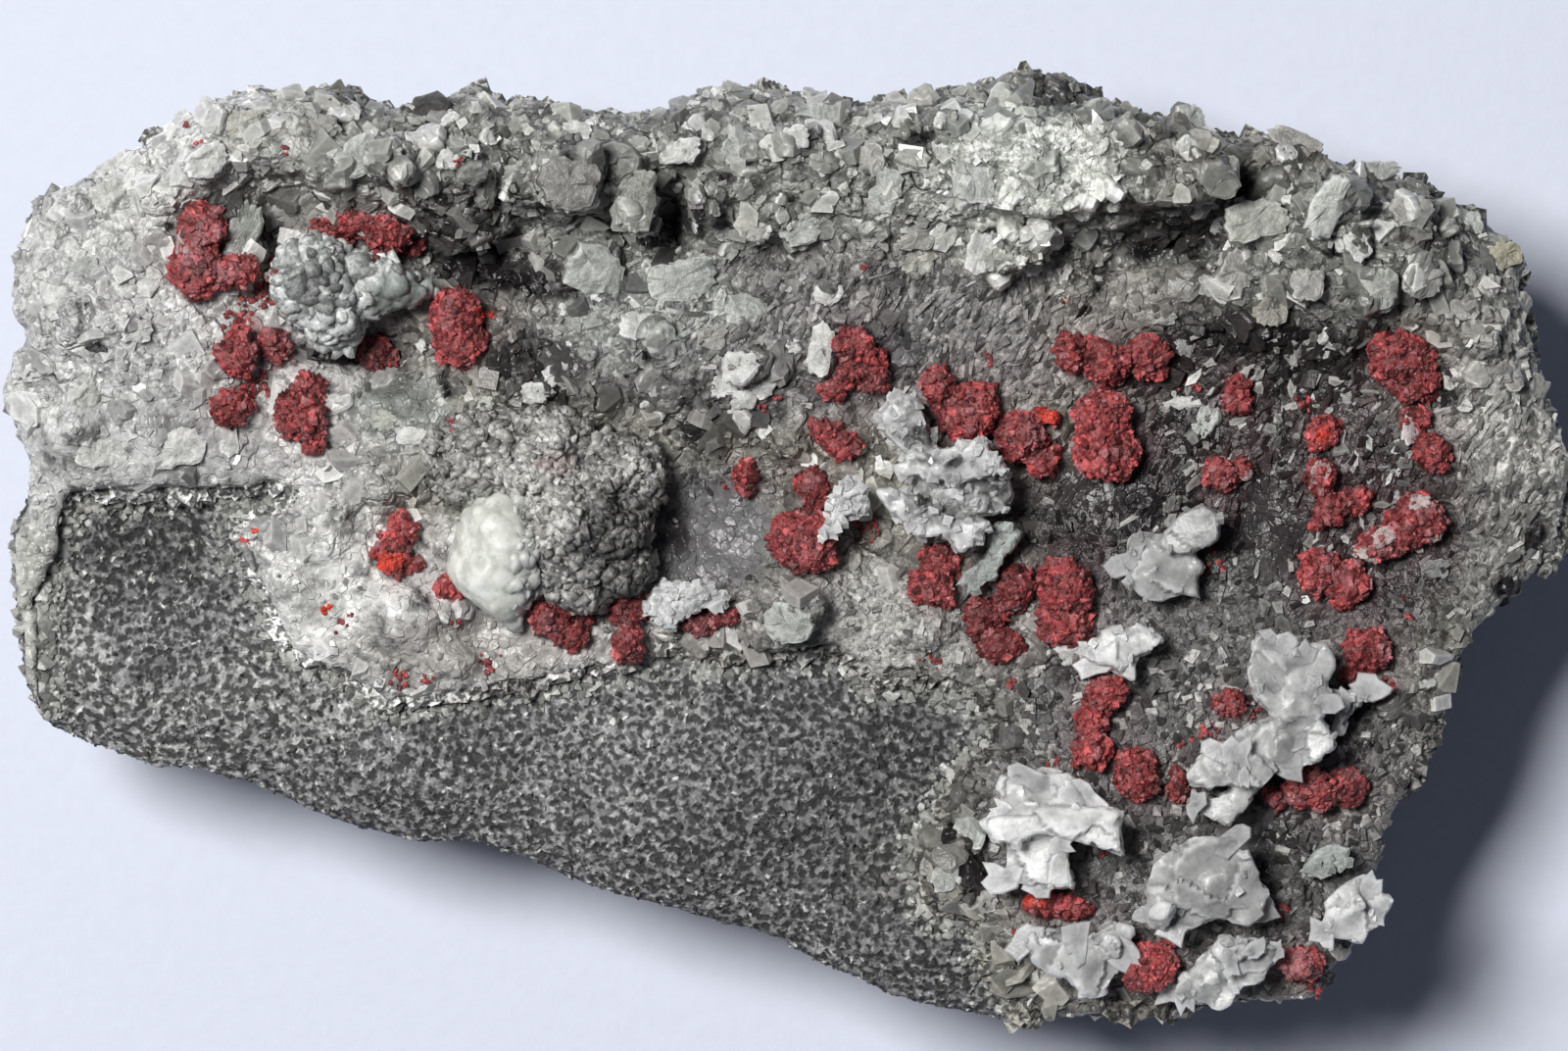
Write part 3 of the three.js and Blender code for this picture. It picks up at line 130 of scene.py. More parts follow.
# The larger single crystals: x, y, half length, half width, colour and how far the length is turned.
SINGLE_CRYSTALS = (
    (31, 19.5, 2.1, 1, rgb(222, 225, 219), 70), (26.9, 18.7, 2, 1.15, rgb(198, 199, 191), 10),
    (35.9, 19.2, 1.2, 1, CLOUDY, 0), (32.7, 17.2, 1, 0.7, WHITE, -60), (29.9, 15, 1.15, 1, CLOUDY, 80),
    (34.1, 14.7, 1.4, 1, rgb(190, 192, 186), 80), (36.1, 16.4, 0.6, 0.4, WHITE, 0),
    (36.4, 15.2, 1.3, 1, CLOUDY, -10), (28, 13.6, 1, 0.9, rgb(176, 174, 164), 40),
    (26, 15.9, 1.25, 1.05, CLOUDY, 60), (24.4, 14.9, 0.7, 0.65, GREENISH, 0),
    (28.3, 20.9, 0.9, 0.7, GREENISH, 60), (34.1, 21.6, 1.5, 0.6, GREENISH, 5),
    (29.6, 23.2, 1.8, 0.8, CLOUDY, -20), (39.6, 18.6, 0.8, 0.8, GREENISH, 0),
    (41.4, 16.8, 1.1, 0.9, rgb(198, 194, 172), 0), (23.2, 24.6, 1, 0.8, GREENISH, 0),
    (21.8, 13.2, 0.8, 0.5, CLOUDY, 0), (38.8, 13.6, 1.2, 0.7, CLOUDY, 0),
    (10.8, 21, 1.6, 1.2, GREENISH, 80), (5, 22.2, 1, 1, CLOUDY, 0), (1, 18.2, 1.35, 1, GREENISH, 30),
    (-1.7, 18.3, 1.1, 0.9, rgb(212, 211, 203), 0), (5.8, 20.4, 1.5, 1, GREENISH, 70),
    (2.4, 24.6, 1.6, 0.9, GREENISH, 0), (-2.6, 22.9, 1.2, 1, GREENISH, 60),
    (-5.9, 22.6, 1.3, 0.8, WHITE, 10), (0.7, 23.4, 0.9, 0.7, WHITE, 0), (-11.9, 23.8, 0.9, 0.7, WHITE, 0),
    (-10.8, 15.9, 1.9, 1.6, GREENISH, -20), (-6, 15.4, 2.3, 1.3, GREENISH, 10),
    (-8.3, 19.8, 2, 1.1, rgb(164, 164, 158), 80), (-12.2, 20.6, 1.7, 1.6, rgb(160, 158, 154), 0),
    (-2.1, 13.6, 1.4, 1, GREENISH, 0), (-4.2, 12, 1, 0.8, CLOUDY, 0), (2.6, 14.6, 0.9, 0.8, WHITE, 40),
    (2.1, 11.4, 1.7, 0.8, WHITE, 80), (0.7, 11.5, 0.6, 0.5, WHITE, 0), (-1, 11.7, 0.7, 0.6, CLOUDY, 0),
    (-2.5, 10.2, 1.2, 1, WHITE, 0), (-1.2, 9.3, 0.9, 0.8, WHITE, 50), (-3.5, 9.2, 0.9, 0.7, WHITE, 0),
    (-2.3, 8.5, 0.8, 0.6, WHITE, 0), (7.6, 16.4, 1.1, 0.9, rgb(206, 205, 194), 0),
    (11.2, 16.9, 1.3, 0.8, WHITE, 75), (16, 15.7, 0.7, 0.45, WHITE, 60), (18, 15.4, 0.4, 0.35, WHITE, 0),
    (-8.4, 12.6, 1.2, 0.9, WHITE, 0), (-32.8, 22.2, 1.5, 1, rgb(240, 241, 236), 35),
    (-30.9, 18.3, 1.9, 1, rgb(176, 179, 173), 80), (-31, 24.2, 1.3, 0.9, rgb(210, 210, 200), 0),
    (-24.2, 22.3, 1.7, 1.1, GREENISH, 30), (-26.6, 24, 1.2, 0.8, CLOUDY, 0),
    (-20.8, 22.8, 1, 1, WHITE, 0), (-41.6, 14.1, 1.1, 0.9, WHITE, 30), (-37.1, 12.4, 0.95, 0.8, WHITE, 0),
    (-36.4, 15.2, 1, 0.7, WHITE, 60), (-40, 8.8, 1.1, 0.8, rgb(212, 213, 206), 60),
    (-34.8, 5.8, 1.8, 1.2, WHITE, 10), (-31.7, 6, 0.9, 0.7, WHITE, 40),
    (-39.5, 5.4, 1.4, 1, rgb(222, 223, 217), 0), (-40, 16, 1, 0.8, GREENISH, 0),
    (-38.8, 20.2, 1.2, 0.9, rgb(222, 222, 216), 30), (10.6, -16.4, 1.1, 1.1, GREENISH, 0),
    (9.2, -18.8, 1.2, 0.9, GREENISH, 80), (11.4, -20.3, 0.9, 0.8, CLOUDY, 0),
    (13.9, -9.9, 0.6, 0.45, CLOUDY, 80), (14.8, -11.6, 0.5, 0.5, CLOUDY, 0),
    (16.3, -6.2, 1.5, 0.7, WHITE, 0), (24.1, 6.9, 1.45, 0.7, rgb(226, 230, 225), 62),
    (22.9, 8.2, 1.3, 0.5, WHITE, 15), (23.4, 4.6, 0.5, 0.4, CLOUDY, 60), (35.3, 5.8, 0.5, 0.5, WHITE, 0),
    (23, 11.5, 0.6, 0.5, CLOUDY, 0), (32.7, 8.6, 0.7, 0.5, CLOUDY, 0), (0.2, -4.2, 1.6, 1.4, GREENISH, 0),
    (37.4, -1.3, 1, 0.6, rgb(150, 150, 150), 0), (7.6, 17.9, 1.2, 0.9, CLOUDY, 0),
    (-13.1, 9.9, 0.9, 0.7, WHITE, 30), (-14.4, 8.8, 0.8, 0.7, WHITE, 0),
    (-17.2, 8.2, 0.6, 0.5, rgb(206, 208, 200), 0), (-23, 7.3, 0.9, 0.7, rgb(196, 199, 190), 0),
    (-21.3, 6.4, 1, 0.6, WHITE, 0),
)
# Pale and pink clear crystals that lie on the red, in the same order.
VEILS = (
    (-29.2, 10.4, 1.2, 0.6, rgb(205, 168, 170), 10), (-30.6, 12.6, 1.0, 0.7, rgb(196, 160, 160), 80),
    (-34.4, 17.2, 1.1, 0.5, rgb(214, 190, 188), 80), (-31.2, 14.2, 0.9, 0.4, rgb(190, 150, 150), 30),
    (36, 7, 1, 0.5, rgb(226, 214, 212), 80), (34.4, 0.6, 0.9, 0.6, rgb(214, 190, 188), 30),
    (33.6, -0.3, 0.9, 0.5, rgb(222, 206, 203), -20), (30.8, 4.3, 0.8, 0.6, rgb(204, 168, 168), 80),
    (36.4, 2.6, 0.7, 0.5, rgb(220, 200, 198), 0), (37.3, 0.7, 0.6, 0.5, rgb(204, 180, 180), 0),
    (32.6, 4.8, 0.8, 0.6, rgb(178, 172, 170), 0), (25.4, 8.7, 0.6, 0.4, rgb(214, 196, 195), 60),
    (31.6, 3.2, 0.4, 0.35, rgb(190, 150, 150), 0), (9, 0.2, 0.6, 0.4, rgb(200, 150, 150), 20),
    (26.6, 4.2, 0.5, 0.4, rgb(206, 176, 176), 0), (31, -1.2, 0.5, 0.4, rgb(196, 140, 142), 0),
    (13.2, -3.3, 0.5, 0.4, rgb(212, 202, 200), 0), (1.6, 3.6, 0.7, 0.5, rgb(176, 104, 108), 70),
)
ORANGE_SPOTS = (
    (-22.8, -0.7, 0.9, 0.5), (-17.3, 13.2, 0.6, 0.5), (31, 6.4, 0.6, 0.5), (15.1, 7.6, 0.6, 0.4),
    (14.4, -20.4, 0.6, 0.4), (-26.3, -3.6, 0.6, 0.6), (-30.6, 0.6, 0.7, 0.7),
)
PINK_CLUSTERS = (1, 3, 18, 26, 32, 34, 37, 40)
BRIGHT_CLUSTERS = (8, 17, 20, 23, 24, 28, 31, 33, 39)
# Clusters whose red is painted darker, as painted shade where they lie in shade.
DARK_CLUSTERS = (7, 10, 11, 12, 22, 36)
# More areas of the crust and of the bare stone.
CALM_AREAS = ((-36, 10, 12, 17),)
FINE_AREAS = (
    (5, 12.5, 16, 5), (27, 1, 14, 10), (-4.5, 0.6, 4.6, 4.2), (5, -4.6, 6, 2.6), (-22, 8, 3, 2.6),
    (41.5, 7, 3.4, 9), (14, 21.6, 4.2, 3), (24, -15, 13, 10),
)
CREAM_AREAS = ((-20, -3.6, 11, 4.6), (-43.5, -2, 3, 7), (-36, 6, 9, 3))
GLASSY_AREAS = (
    (-3.6, 0.8, 4.4, 2.8), (-22, 7.8, 3, 2.4), (26.4, -16.8, 2.2, 1.8), (20.6, 17.6, 2, 2),
    (18.6, 3.6, 3, 1.6), (28, 1.6, 1.8, 3.4), (28.5, -11, 2.6, 2),
)
STREAKED_AREAS = ((7, 12.6, 14.5, 4.6), (28, 5, 12, 8), (41.5, 7, 3.4, 9))
BROKEN_AREAS = (
    (31, 18, 12, 6), (2, 21, 16, 6), (-22, 21, 12, 4), (42, 14, 3, 8), (14, 22, 5, 3), (-2, 10, 10, 3),
    (10, -18, 3, 4),
)
PLATE_AREAS = (
    (32, 8.6, 7, 3), (24, 8, 3.4, 2), (36.5, 4, 3, 4), (31, -2, 5, 3), (24, 3.6, 2.4, 2), (26, -7, 6, 3),
)
DIM_STONE = ((6, -15, 11, 8),)
LIT_STONE = ((-36, -10.8, 7.5, 3), (-41.5, -6, 2.4, 5), (-29, -9, 5, 4))
# Stone painted darker: in the scoop, and a painted shadow along the line under the crust's edge.
SCOOPED_STONE = ((-37.4, -0.2, 4, 3.2), (-36.5, 2.6, 5, 0.8))
# The soft window's place and sides, and how far towards the rim the camera looks, in millimetres.
WINDOW_PLACE = (-285, 165, 700)
WINDOW_SIZE = (240, 220)
VIEW_MIDDLE = 1.24


# --- noise -------------------------------------------------------------------------------------

CORNERS = np.array([(i, j, k) for i in (0, 1) for j in (0, 1) for k in (0, 1)])
AROUND = np.array([(i, j, k) for i in (-1, 0, 1) for j in (-1, 0, 1) for k in (-1, 0, 1)])


def hashed(cell, seed):
    """A steady random number from 0 to 1 for each whole-numbered cell."""
    key = (cell[..., 0] * 73856093) ^ (cell[..., 1] * 19349663) ^ (cell[..., 2] * 83492791)
    key = (key ^ (seed * 40503 + 977)) & 0xFFFFFFFF
    for _ in range(2):
        key = ((key ^ (key >> 16)) * 0x45D9F3B) & 0xFFFFFFFF
    return ((key ^ (key >> 16)) & 0xFFFFFF) / 0xFFFFFF


def noise(points, size, seed=0):
    """Smooth noise from -1 to 1 with lumps about size across."""
    scaled = points / size
    base = np.floor(scaled).astype(np.int64)
    part = scaled - base
    part = part * part * (3 - 2 * part)
    total = np.zeros(len(points))
    for corner in CORNERS:
        total += np.prod(np.where(corner, part, 1 - part), axis=1) * hashed(base + corner, seed)
    return total * 2 - 1


def fractal(points, size, seed=0, octaves=3):
    """Noise with ever finer noise added."""
    total = sum(noise(points, size / 2 ** k, seed + 17 * k) / 1.7 ** k for k in range(octaves))
    return total / sum(1 / 1.7 ** k for k in range(octaves))


def cells(points, size, seed=0):
    """The distances to the nearest and the next cell middle, in cell sizes, the cell's own random
    number and its whole-numbered place."""
    scaled = points / size
    base = np.floor(scaled).astype(np.int64)
    nearest = np.full(len(points), 9.0)
    following = np.full(len(points), 9.0)
    home = base
    for step in AROUND:
        cell = base + step
        middle = cell + np.stack([hashed(cell, seed + k) for k in (1, 2, 3)], axis=1)
        away = np.linalg.norm(middle - scaled, axis=1)
        closer = away < nearest
        following = np.where(closer, nearest, np.minimum(following, away))
        home = np.where(closer[:, None], cell, home)
        nearest = np.where(closer, away, nearest)
    return nearest, following, hashed(home, seed + 4), home


def stepped(points, size, seed, steepness=0.35):
    """Heights of a broken crystal face: each cell has a flat slope and a level of its own."""
    _, _, own, home = cells(points, size, seed)
    slope = np.stack([hashed(home, seed + 7), hashed(home, seed + 8)], axis=1) * 2 - 1
    away = points[:, :2] / size - home[:, :2] - 0.5
    return size * (steepness * (slope * away).sum(axis=1) + 0.3 * (own - 0.5))


def ramp(low, high, value):
    """From 0 at low to 1 at high, with soft ends."""
    part = np.clip((value - low) / (high - low), 0, 1)
    return part * part * (3 - 2 * part)


def within(points, areas, soft=0.3, ragged=0.6, seed=90):
    """How far each point lies in the areas: 0 outside, 1 inside, with ragged soft edges."""
    x = points[:, 0] + ragged * fractal(points, 1.8, seed)
    y = points[:, 1] + ragged * fractal(points, 1.8, seed + 5)
    most = np.zeros(len(points))
    for area_x, area_y, half_x, half_y, *_ in areas:
        reach = np.hypot((x - area_x) / half_x, (y - area_y) / half_y)
        most = np.maximum(most, 1 - ramp(1 - soft, 1 + soft, reach))
    return most


# --- meshes as arrays --------------------------------------------------------------------------

def solid(name):
    """A node's corners in millimetres, each once, and its triangles."""
    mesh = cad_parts[name].data
    mesh.calc_loop_triangles()
    corners = np.empty(len(mesh.vertices) * 3)
    mesh.vertices.foreach_get("co", corners)
    faces = np.empty(len(mesh.loop_triangles) * 3, dtype=np.int32)
    mesh.loop_triangles.foreach_get("vertices", faces)
    points, which = np.unique(np.round(corners.reshape(-1, 3) / MM, 3), axis=0, return_inverse=True)
    return points, which.reshape(-1)[faces].reshape(-1, 3)


def raw_mesh(name, points, faces):
    """A mesh of triangles, in whatever unit the points have."""
    mesh = bpy.data.meshes.new(name)
    mesh.vertices.add(len(points))
    mesh.vertices.foreach_set("co", np.ascontiguousarray(points, dtype=np.float32).ravel())
    mesh.loops.add(faces.size)
    mesh.loops.foreach_set("vertex_index", np.ascontiguousarray(faces, dtype=np.int32).ravel())
    mesh.polygons.add(len(faces))
    mesh.polygons.foreach_set("loop_start", np.arange(0, faces.size, faces.shape[1], dtype=np.int32))
    mesh.update(calc_edges=True)
    return mesh


def remesh(points, faces, spacing):
    """The same body in even faces about spacing across."""
    body = bpy.data.objects.new("even_body", raw_mesh("even_body", points, faces))
    bpy.context.scene.collection.objects.link(body)
    even = body.modifiers.new("even", "REMESH")
    even.mode = "VOXEL"
    even.voxel_size = spacing
    made = body.evaluated_get(bpy.context.evaluated_depsgraph_get()).to_mesh()
    corners = np.empty(len(made.vertices) * 3)
    made.vertices.foreach_get("co", corners)
    squares = np.empty(len(made.loops), dtype=np.int32)
    made.loops.foreach_get("vertex_index", squares)
    bpy.data.objects.remove(body)
    corners = corners.reshape(-1, 3)
    squares = squares.reshape(-1, 4)
    across = np.linalg.norm(corners[squares[:, [0, 1]]] - corners[squares[:, [2, 3]]], axis=2)
    squares = np.where((across[:, 0] > across[:, 1])[:, None], np.roll(squares, -1, axis=1), squares)
    return corners, np.concatenate([squares[:, [0, 1, 2]], squares[:, [0, 2, 3]]])


def turned(rows, middles, turn):
    """The rows with their entries moved round, so that entry turn comes first."""
    order = (np.arange(3) + turn[:, None]) % 3
    return np.take_along_axis(rows, order, 1).T, np.take_along_axis(middles, order, 1).T


def refine(points, faces, longest):
    """Halves the edges that are longer than longest(middles), once."""
    sides = np.sort(faces[:, [0, 1, 1, 2, 2, 0]].reshape(-1, 2).astype(np.int64), axis=1)
    edges, which = np.unique(sides[:, 0] * len(points) + sides[:, 1], return_inverse=True)
    which = which.reshape(-1, 3)
    start, end = points[edges // len(points)], points[edges % len(points)]
    length = np.linalg.norm(end - start, axis=1)
    cut = length > longest((start + end) / 2)
    if not cut.any():
        return points, faces
    widest = which[np.arange(len(faces)), np.argmax(length[which], axis=1)]
    while True:
        needed = cut[which].any(axis=1) & ~cut[widest]
        if not needed.any():
            break
        cut[widest[needed]] = True
    middle = np.full(len(edges), -1)
    middle[cut] = len(points) + np.arange(cut.sum())
    middle = middle[which]
    points = np.concatenate([points, (start[cut] + end[cut]) / 2])
    count = (middle >= 0).sum(axis=1)
    made = [faces[count == 0]]
    one = count == 1
    (a, b, c), (ab, _, _) = turned(faces[one], middle[one], np.argmax(middle[one], axis=1))
    made += [np.stack(rows, axis=1) for rows in ((a, ab, c), (ab, b, c))]
    two = count == 2
    (a, b, c), (ab, bc, _) = turned(faces[two], middle[two], (np.argmin(middle[two], axis=1) + 1) % 3)
    made += [np.stack(rows, axis=1) for rows in ((ab, b, bc), (a, ab, bc), (a, bc, c))]
    (a, b, c), (ab, bc, ca) = faces[count == 3].T, middle[count == 3].T
    made += [np.stack(rows, axis=1) for rows in ((a, ab, ca), (ab, b, bc), (ca, bc, c), (ab, bc, ca))]
    faces = np.concatenate(made)
    return points, faces


def crossed(points, faces):
    """Each face's outward direction, twice as long as the face is large."""
    a, b, c = (points[faces[:, k]] for k in range(3))
    return np.cross(b - a, c - a)


def normals(points, faces):
    """The outward direction at each point."""
    across = crossed(points, faces)
    total = np.stack([np.bincount(faces.ravel(), np.repeat(across[:, k], 3), len(points))
                      for k in range(3)], axis=1)
    return total / np.maximum(np.linalg.norm(total, axis=1, keepdims=True), 1e-12)


def bend(points, faces):
    """1 where a face lies in line with the surface round it, less where the surface bends there."""
    across = crossed(points, faces)
    across /= np.maximum(np.linalg.norm(across, axis=1, keepdims=True), 1e-12)
    return np.einsum("fk,fck->fc", across, normals(points, faces)[faces]).min(axis=1)


def evened(values, faces, rounds=1, share=0.6):
    """The values, each drawn towards the mean of its neighbours."""
    ends = faces[:, [0, 1, 1, 2, 2, 0]].reshape(-1, 2)
    count = np.bincount(ends.ravel(), minlength=len(values))
    flat = values.reshape(len(values), -1)
    for _ in range(rounds):
        mean = np.stack([np.bincount(ends[:, 0], column[ends[:, 1]], len(flat))
                         + np.bincount(ends[:, 1], column[ends[:, 0]], len(flat))
                         for column in flat.T], axis=1) / count[:, None]
        flat = flat + share * (mean - flat)
    return flat.reshape(values.shape)


def hollowness(points, faces, rounds=3):
    """How far each point lies below its neighbours, in millimetres; less than 0 on a hump."""
    out = normals(points, faces)
    return ((evened(points, faces, rounds, 0.9) - points) * out).sum(axis=1)


def sunk_depth(points):
    """How far each point lies below the ground round it, from a coarse map of heights."""
    pitch, reach = 0.6, 4
    column = np.floor((points[:, 0] + 50) / pitch).astype(int)
    row = np.floor((points[:, 1] + 35) / pitch).astype(int)
    wide, high = column.max() + 1, row.max() + 1
    spot = column * high + row
    count = np.bincount(spot, minlength=wide * high).reshape(wide, high).astype(float)
    total = np.bincount(spot, points[:, 2], wide * high).reshape(wide, high)
    for _ in range(reach):
        for axis in (0, 1):
            total = total * 0.5 + (np.roll(total, 1, axis) + np.roll(total, -1, axis)) * 0.25
            count = count * 0.5 + (np.roll(count, 1, axis) + np.roll(count, -1, axis)) * 0.25
    return (total / np.maximum(count, 1e-9)).ravel()[spot] - points[:, 2]


def build(name, points, faces, finish, replaced, values, smooth=False):
    """The piece as an object in metres, riding on the specimen.  It carries the values, each one
    number or one for every point, and stands for the replaced nodes, if any."""
    mesh = raw_mesh(name, points * MM, faces)
    mesh.polygons.foreach_set("use_smooth", np.broadcast_to(smooth, len(faces)).copy())
    tint = mesh.attributes.new("tint", "FLOAT_COLOR", "POINT")
    colour = np.ones((len(points), 4), dtype=np.float32)
    colour[:, :3] = np.clip(values["tint"], 0, 1)
    tint.data.foreach_set("color", colour.ravel())
    for key, numbers in values.items():
        if key != "tint":
            layer = mesh.attributes.new(key, "FLOAT", "POINT")
            numbers = np.broadcast_to(np.asarray(numbers, dtype=np.float32), len(points))
            layer.data.foreach_set("value", numbers.copy())
    mesh.materials.append(finish)
    mesh.validate()
    piece = bpy.data.objects.new(name, mesh)
    bpy.context.scene.collection.objects.link(piece)
    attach(piece, "root")
    if replaced:
        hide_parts(*replaced)


# --- grains and crystals -----------------------------------------------------------------------

def unit_vectors(count, rng):
    """Random directions."""
    directions = rng.normal(size=(count, 3))
    return directions / np.linalg.norm(directions, axis=1, keepdims=True)


def faceted(seed, planes, near, far):
    """A grain with flat faces: a box cut by planes, each face fanned about its own middle.  Gives
    points, triangles and 1 at the middles, 0 at the edges."""
    rng = np.random.default_rng(seed)
    grain = bmesh.new()
    bmesh.ops.create_cube(grain, size=2)
    for direction in unit_vectors(planes, rng):
        everything = grain.verts[:] + grain.edges[:] + grain.faces[:]
        cut = bmesh.ops.bisect_plane(grain, geom=everything, plane_no=direction, clear_outer=True,
                                     plane_co=direction * rng.uniform(near, far))
        rim = [part for part in cut["geom_cut"] if isinstance(part, bmesh.types.BMEdge)]
        if len(rim) > 2:
            bmesh.ops.contextual_create(grain, geom=rim)
    bmesh.ops.dissolve_degenerate(grain, dist=0.06, edges=grain.edges[:])
    middles = set(bmesh.ops.poke(grain, faces=grain.faces[:])["verts"])
    bmesh.ops.recalc_face_normals(grain, faces=grain.faces[:])
    grain.verts.index_update()
    points = np.array([corner.co for corner in grain.verts])
    inner = np.array([corner in middles for corner in grain.verts], dtype=float)
    faces = np.array([[corner.index for corner in face.verts] for face in grain.faces])
    grain.free()
    return points, faces, inner


def pebble(seed, flats, wild):
    """A knob one unit in radius with a few flat faces, of eighty triangles; wild is how far its form
    wanders.  Gives points, triangles and 1 on its top, 0 round its sides."""
    rng = np.random.default_rng(seed)
    ball = bmesh.new()
    bmesh.ops.create_icosphere(ball, subdivisions=2, radius=1)
    ball.verts.index_update()
    points = np.array([corner.co for corner in ball.verts])
    faces = np.array([[corner.index for corner in face.verts] for face in ball.faces])
    ball.free()
    points = points * (1 + wild * fractal(points + seed * 7.3, 0.95, seed, 2))[:, None]
    for direction in unit_vectors(flats, rng):
        over = points @ direction - rng.uniform(0.68, 0.92)
        points = points - np.maximum(over, 0)[:, None] * direction
    return points, faces, ramp(0.45, 0.85, points[:, 2])


def ragged_plate(seed, corners, thickness):
    """A thin crystal plate one unit in radius with a jagged outline and slanting rim.  Gives points,
    triangles and 1 at the middle, 0 at the rim."""
    rng = np.random.default_rng(seed)
    angle = (np.arange(corners) + rng.uniform(-0.35, 0.35, corners)) * 2 * math.pi / corners
    radius = rng.uniform(0.55, 1.12, corners)
    radius[rng.integers(corners)] *= 0.6
    outline = np.stack([radius * np.cos(angle), radius * np.sin(angle) * rng.uniform(0.6, 1)], axis=1)
    height = rng.uniform(0.7, 1.3, (corners, 1)) * thickness
    upper = np.column_stack([outline * 0.9, height])
    lower = np.column_stack([outline, -height])
    points = np.concatenate([upper, lower, [(0, 0, thickness * 1.1), (0, 0, -thickness)]])
    here = np.arange(corners)
    ahead = (here + 1) % corners
    top, bottom = np.full(corners, 2 * corners), np.full(corners, 2 * corners + 1)
    sheets = [(here, ahead, top), (ahead + corners, here + corners, bottom),
              (here + corners, ahead + corners, ahead), (here + corners, ahead, here)]
    inner = np.zeros(len(points))
    inner[2 * corners] = 1
    return points, np.concatenate([np.stack(sheet, axis=1) for sheet in sheets]), inner


def chunk(seed, corners):
    """A broken crystal one unit in radius: a jagged outline, a chipped top and steep sides.  Gives
    points, triangles and 1 inside its top, 0 at the rim."""
    jag = 0.34
    rng = np.random.default_rng(seed)
    angle = (np.arange(corners) + rng.uniform(-0.3, 0.3, corners)) * 2 * math.pi / corners
    circle = np.stack([np.cos(angle), np.sin(angle), np.zeros(corners)], axis=1)
    reach = 0.88 + jag * (0.9 * fractal(circle + seed * 3.7, 1.0, seed, 2) + rng.uniform(-0.3, 0.3, corners))
    reach = reach / np.maximum(np.abs(circle[:, :2]).max(axis=1) ** 0.4, 0.1) * 0.94
    # Each ring's share of the reach, its height and how far inside the crystal it looks.
    rings = ((0.48, 0.5, 1.0), (0.82, 0.44, 0.8), (0.96, 0.3, 0.0), (1.0, -0.25, 0.3), (0.75, -0.8, 0.6))
    points = [circle * (share * reach)[:, None] + (0, 0, height) for share, height, _ in rings]
    points = np.concatenate(points + [np.array([(0, 0, 0.52), (0, 0, -0.8)])])
    points[:, 2] += ramp(0, 0.3, points[:, 2]) * 0.8 * stepped(points + seed * 5.1, 0.75, seed, 0.5)
    here = np.arange(corners)
    ahead = (here + 1) % corners
    last = (len(rings) - 1) * corners
    sheets = [(here, ahead, np.full(corners, last + corners)),
              (ahead + last, here + last, np.full(corners, last + corners + 1))]
    for upper in range(0, last, corners):
        lower = upper + corners
        sheets += [(here + lower, ahead + lower, ahead + upper), (here + lower, ahead + upper, here + upper)]
    inner = np.append(np.repeat([inside for _, _, inside in rings], corners), (1.0, 0.6))
    return points, np.concatenate([np.stack(sheet, axis=1) for sheet in sheets]), inner


def rim_light(made, inner, spot, spots, out, sizes):
    """How light each point of planted chunks is: aglow at the rim away from the window, dark under it."""
    away = made - spots[spot]
    rise = (away * out[spot]).sum(axis=1) / sizes[spot, 2]
    away = away / sizes[spot, :1]
    glow = ramp(-0.3, 0.7, 0.35 * away[:, 0] - 0.9 * away[:, 1])
    rim = 1 - inner
    return (1 + rim * (0.12 + 0.4 * glow)) * (0.45 + 0.55 * ramp(-0.15, 0.1, rise)) * (0.86 + 0.14 * rim)


def spike(seed):
    """A six-sided grain with a point at each end, of twelve triangles."""
    rng = np.random.default_rng(seed)
    angle = (np.arange(6) + rng.uniform(-0.2, 0.2, 6)) * math.pi / 3
    girdle = np.column_stack([np.cos(angle), np.sin(angle), rng.uniform(-0.3, 0.3, 6)])
    points = np.concatenate([girdle, [(0, 0, rng.uniform(0.7, 1.3)), (0, 0, -1)]])
    here = np.arange(6)
    ahead = (here + 1) % 6
    faces = np.concatenate([np.column_stack([here, ahead, np.full(6, 6)]),
                            np.column_stack([ahead, here, np.full(6, 7)])])
    return points, faces, np.array([0.3] * 6 + [0.0, 1.0])


def sliver(seed):
    """A small plain grain of twelve triangles, a skewed box."""
    rng = np.random.default_rng(seed)
    points = np.array([(x, y, z) for z in (-1, 1) for y in (-1, 1) for x in (-1, 1)], dtype=float)
    points = points * (1, 0.8, 0.6) + rng.uniform(-0.35, 0.35, points.shape)
    faces = np.array([(0, 2, 3), (0, 3, 1), (4, 5, 7), (4, 7, 6), (0, 1, 5), (0, 5, 4),
                      (2, 6, 7), (2, 7, 3), (0, 4, 6), (0, 6, 2), (1, 3, 7), (1, 7, 5)])
    return points, faces, np.full(8, 0.5)


def strewn(points, faces, count, density, rng, spacing, steepest=0.15):
    """Spots on the upward faces, no two in one cell of the given spacing, with their directions."""
    a, b, c = (points[faces[:, k]] for k in range(3))
    across = crossed(points, faces)
    area = np.linalg.norm(across, axis=1)
    out = across / np.maximum(area, 1e-12)[:, None]
    weight = area * (out[:, 2] > steepest) * density((a + b + c) / 3)
    chosen = rng.choice(len(faces), size=count, p=weight / weight.sum())
    u, v = rng.uniform(size=(2, count))
    over = u + v > 1
    u, v = np.where(over, 1 - u, u)[:, None], np.where(over, 1 - v, v)[:, None]
    spots = a[chosen] + (b - a)[chosen] * u + (c - a)[chosen] * v
    _, kept = np.unique(np.floor(spots / spacing).astype(int), axis=0, return_index=True)
    return spots[kept], out[chosen[kept]]


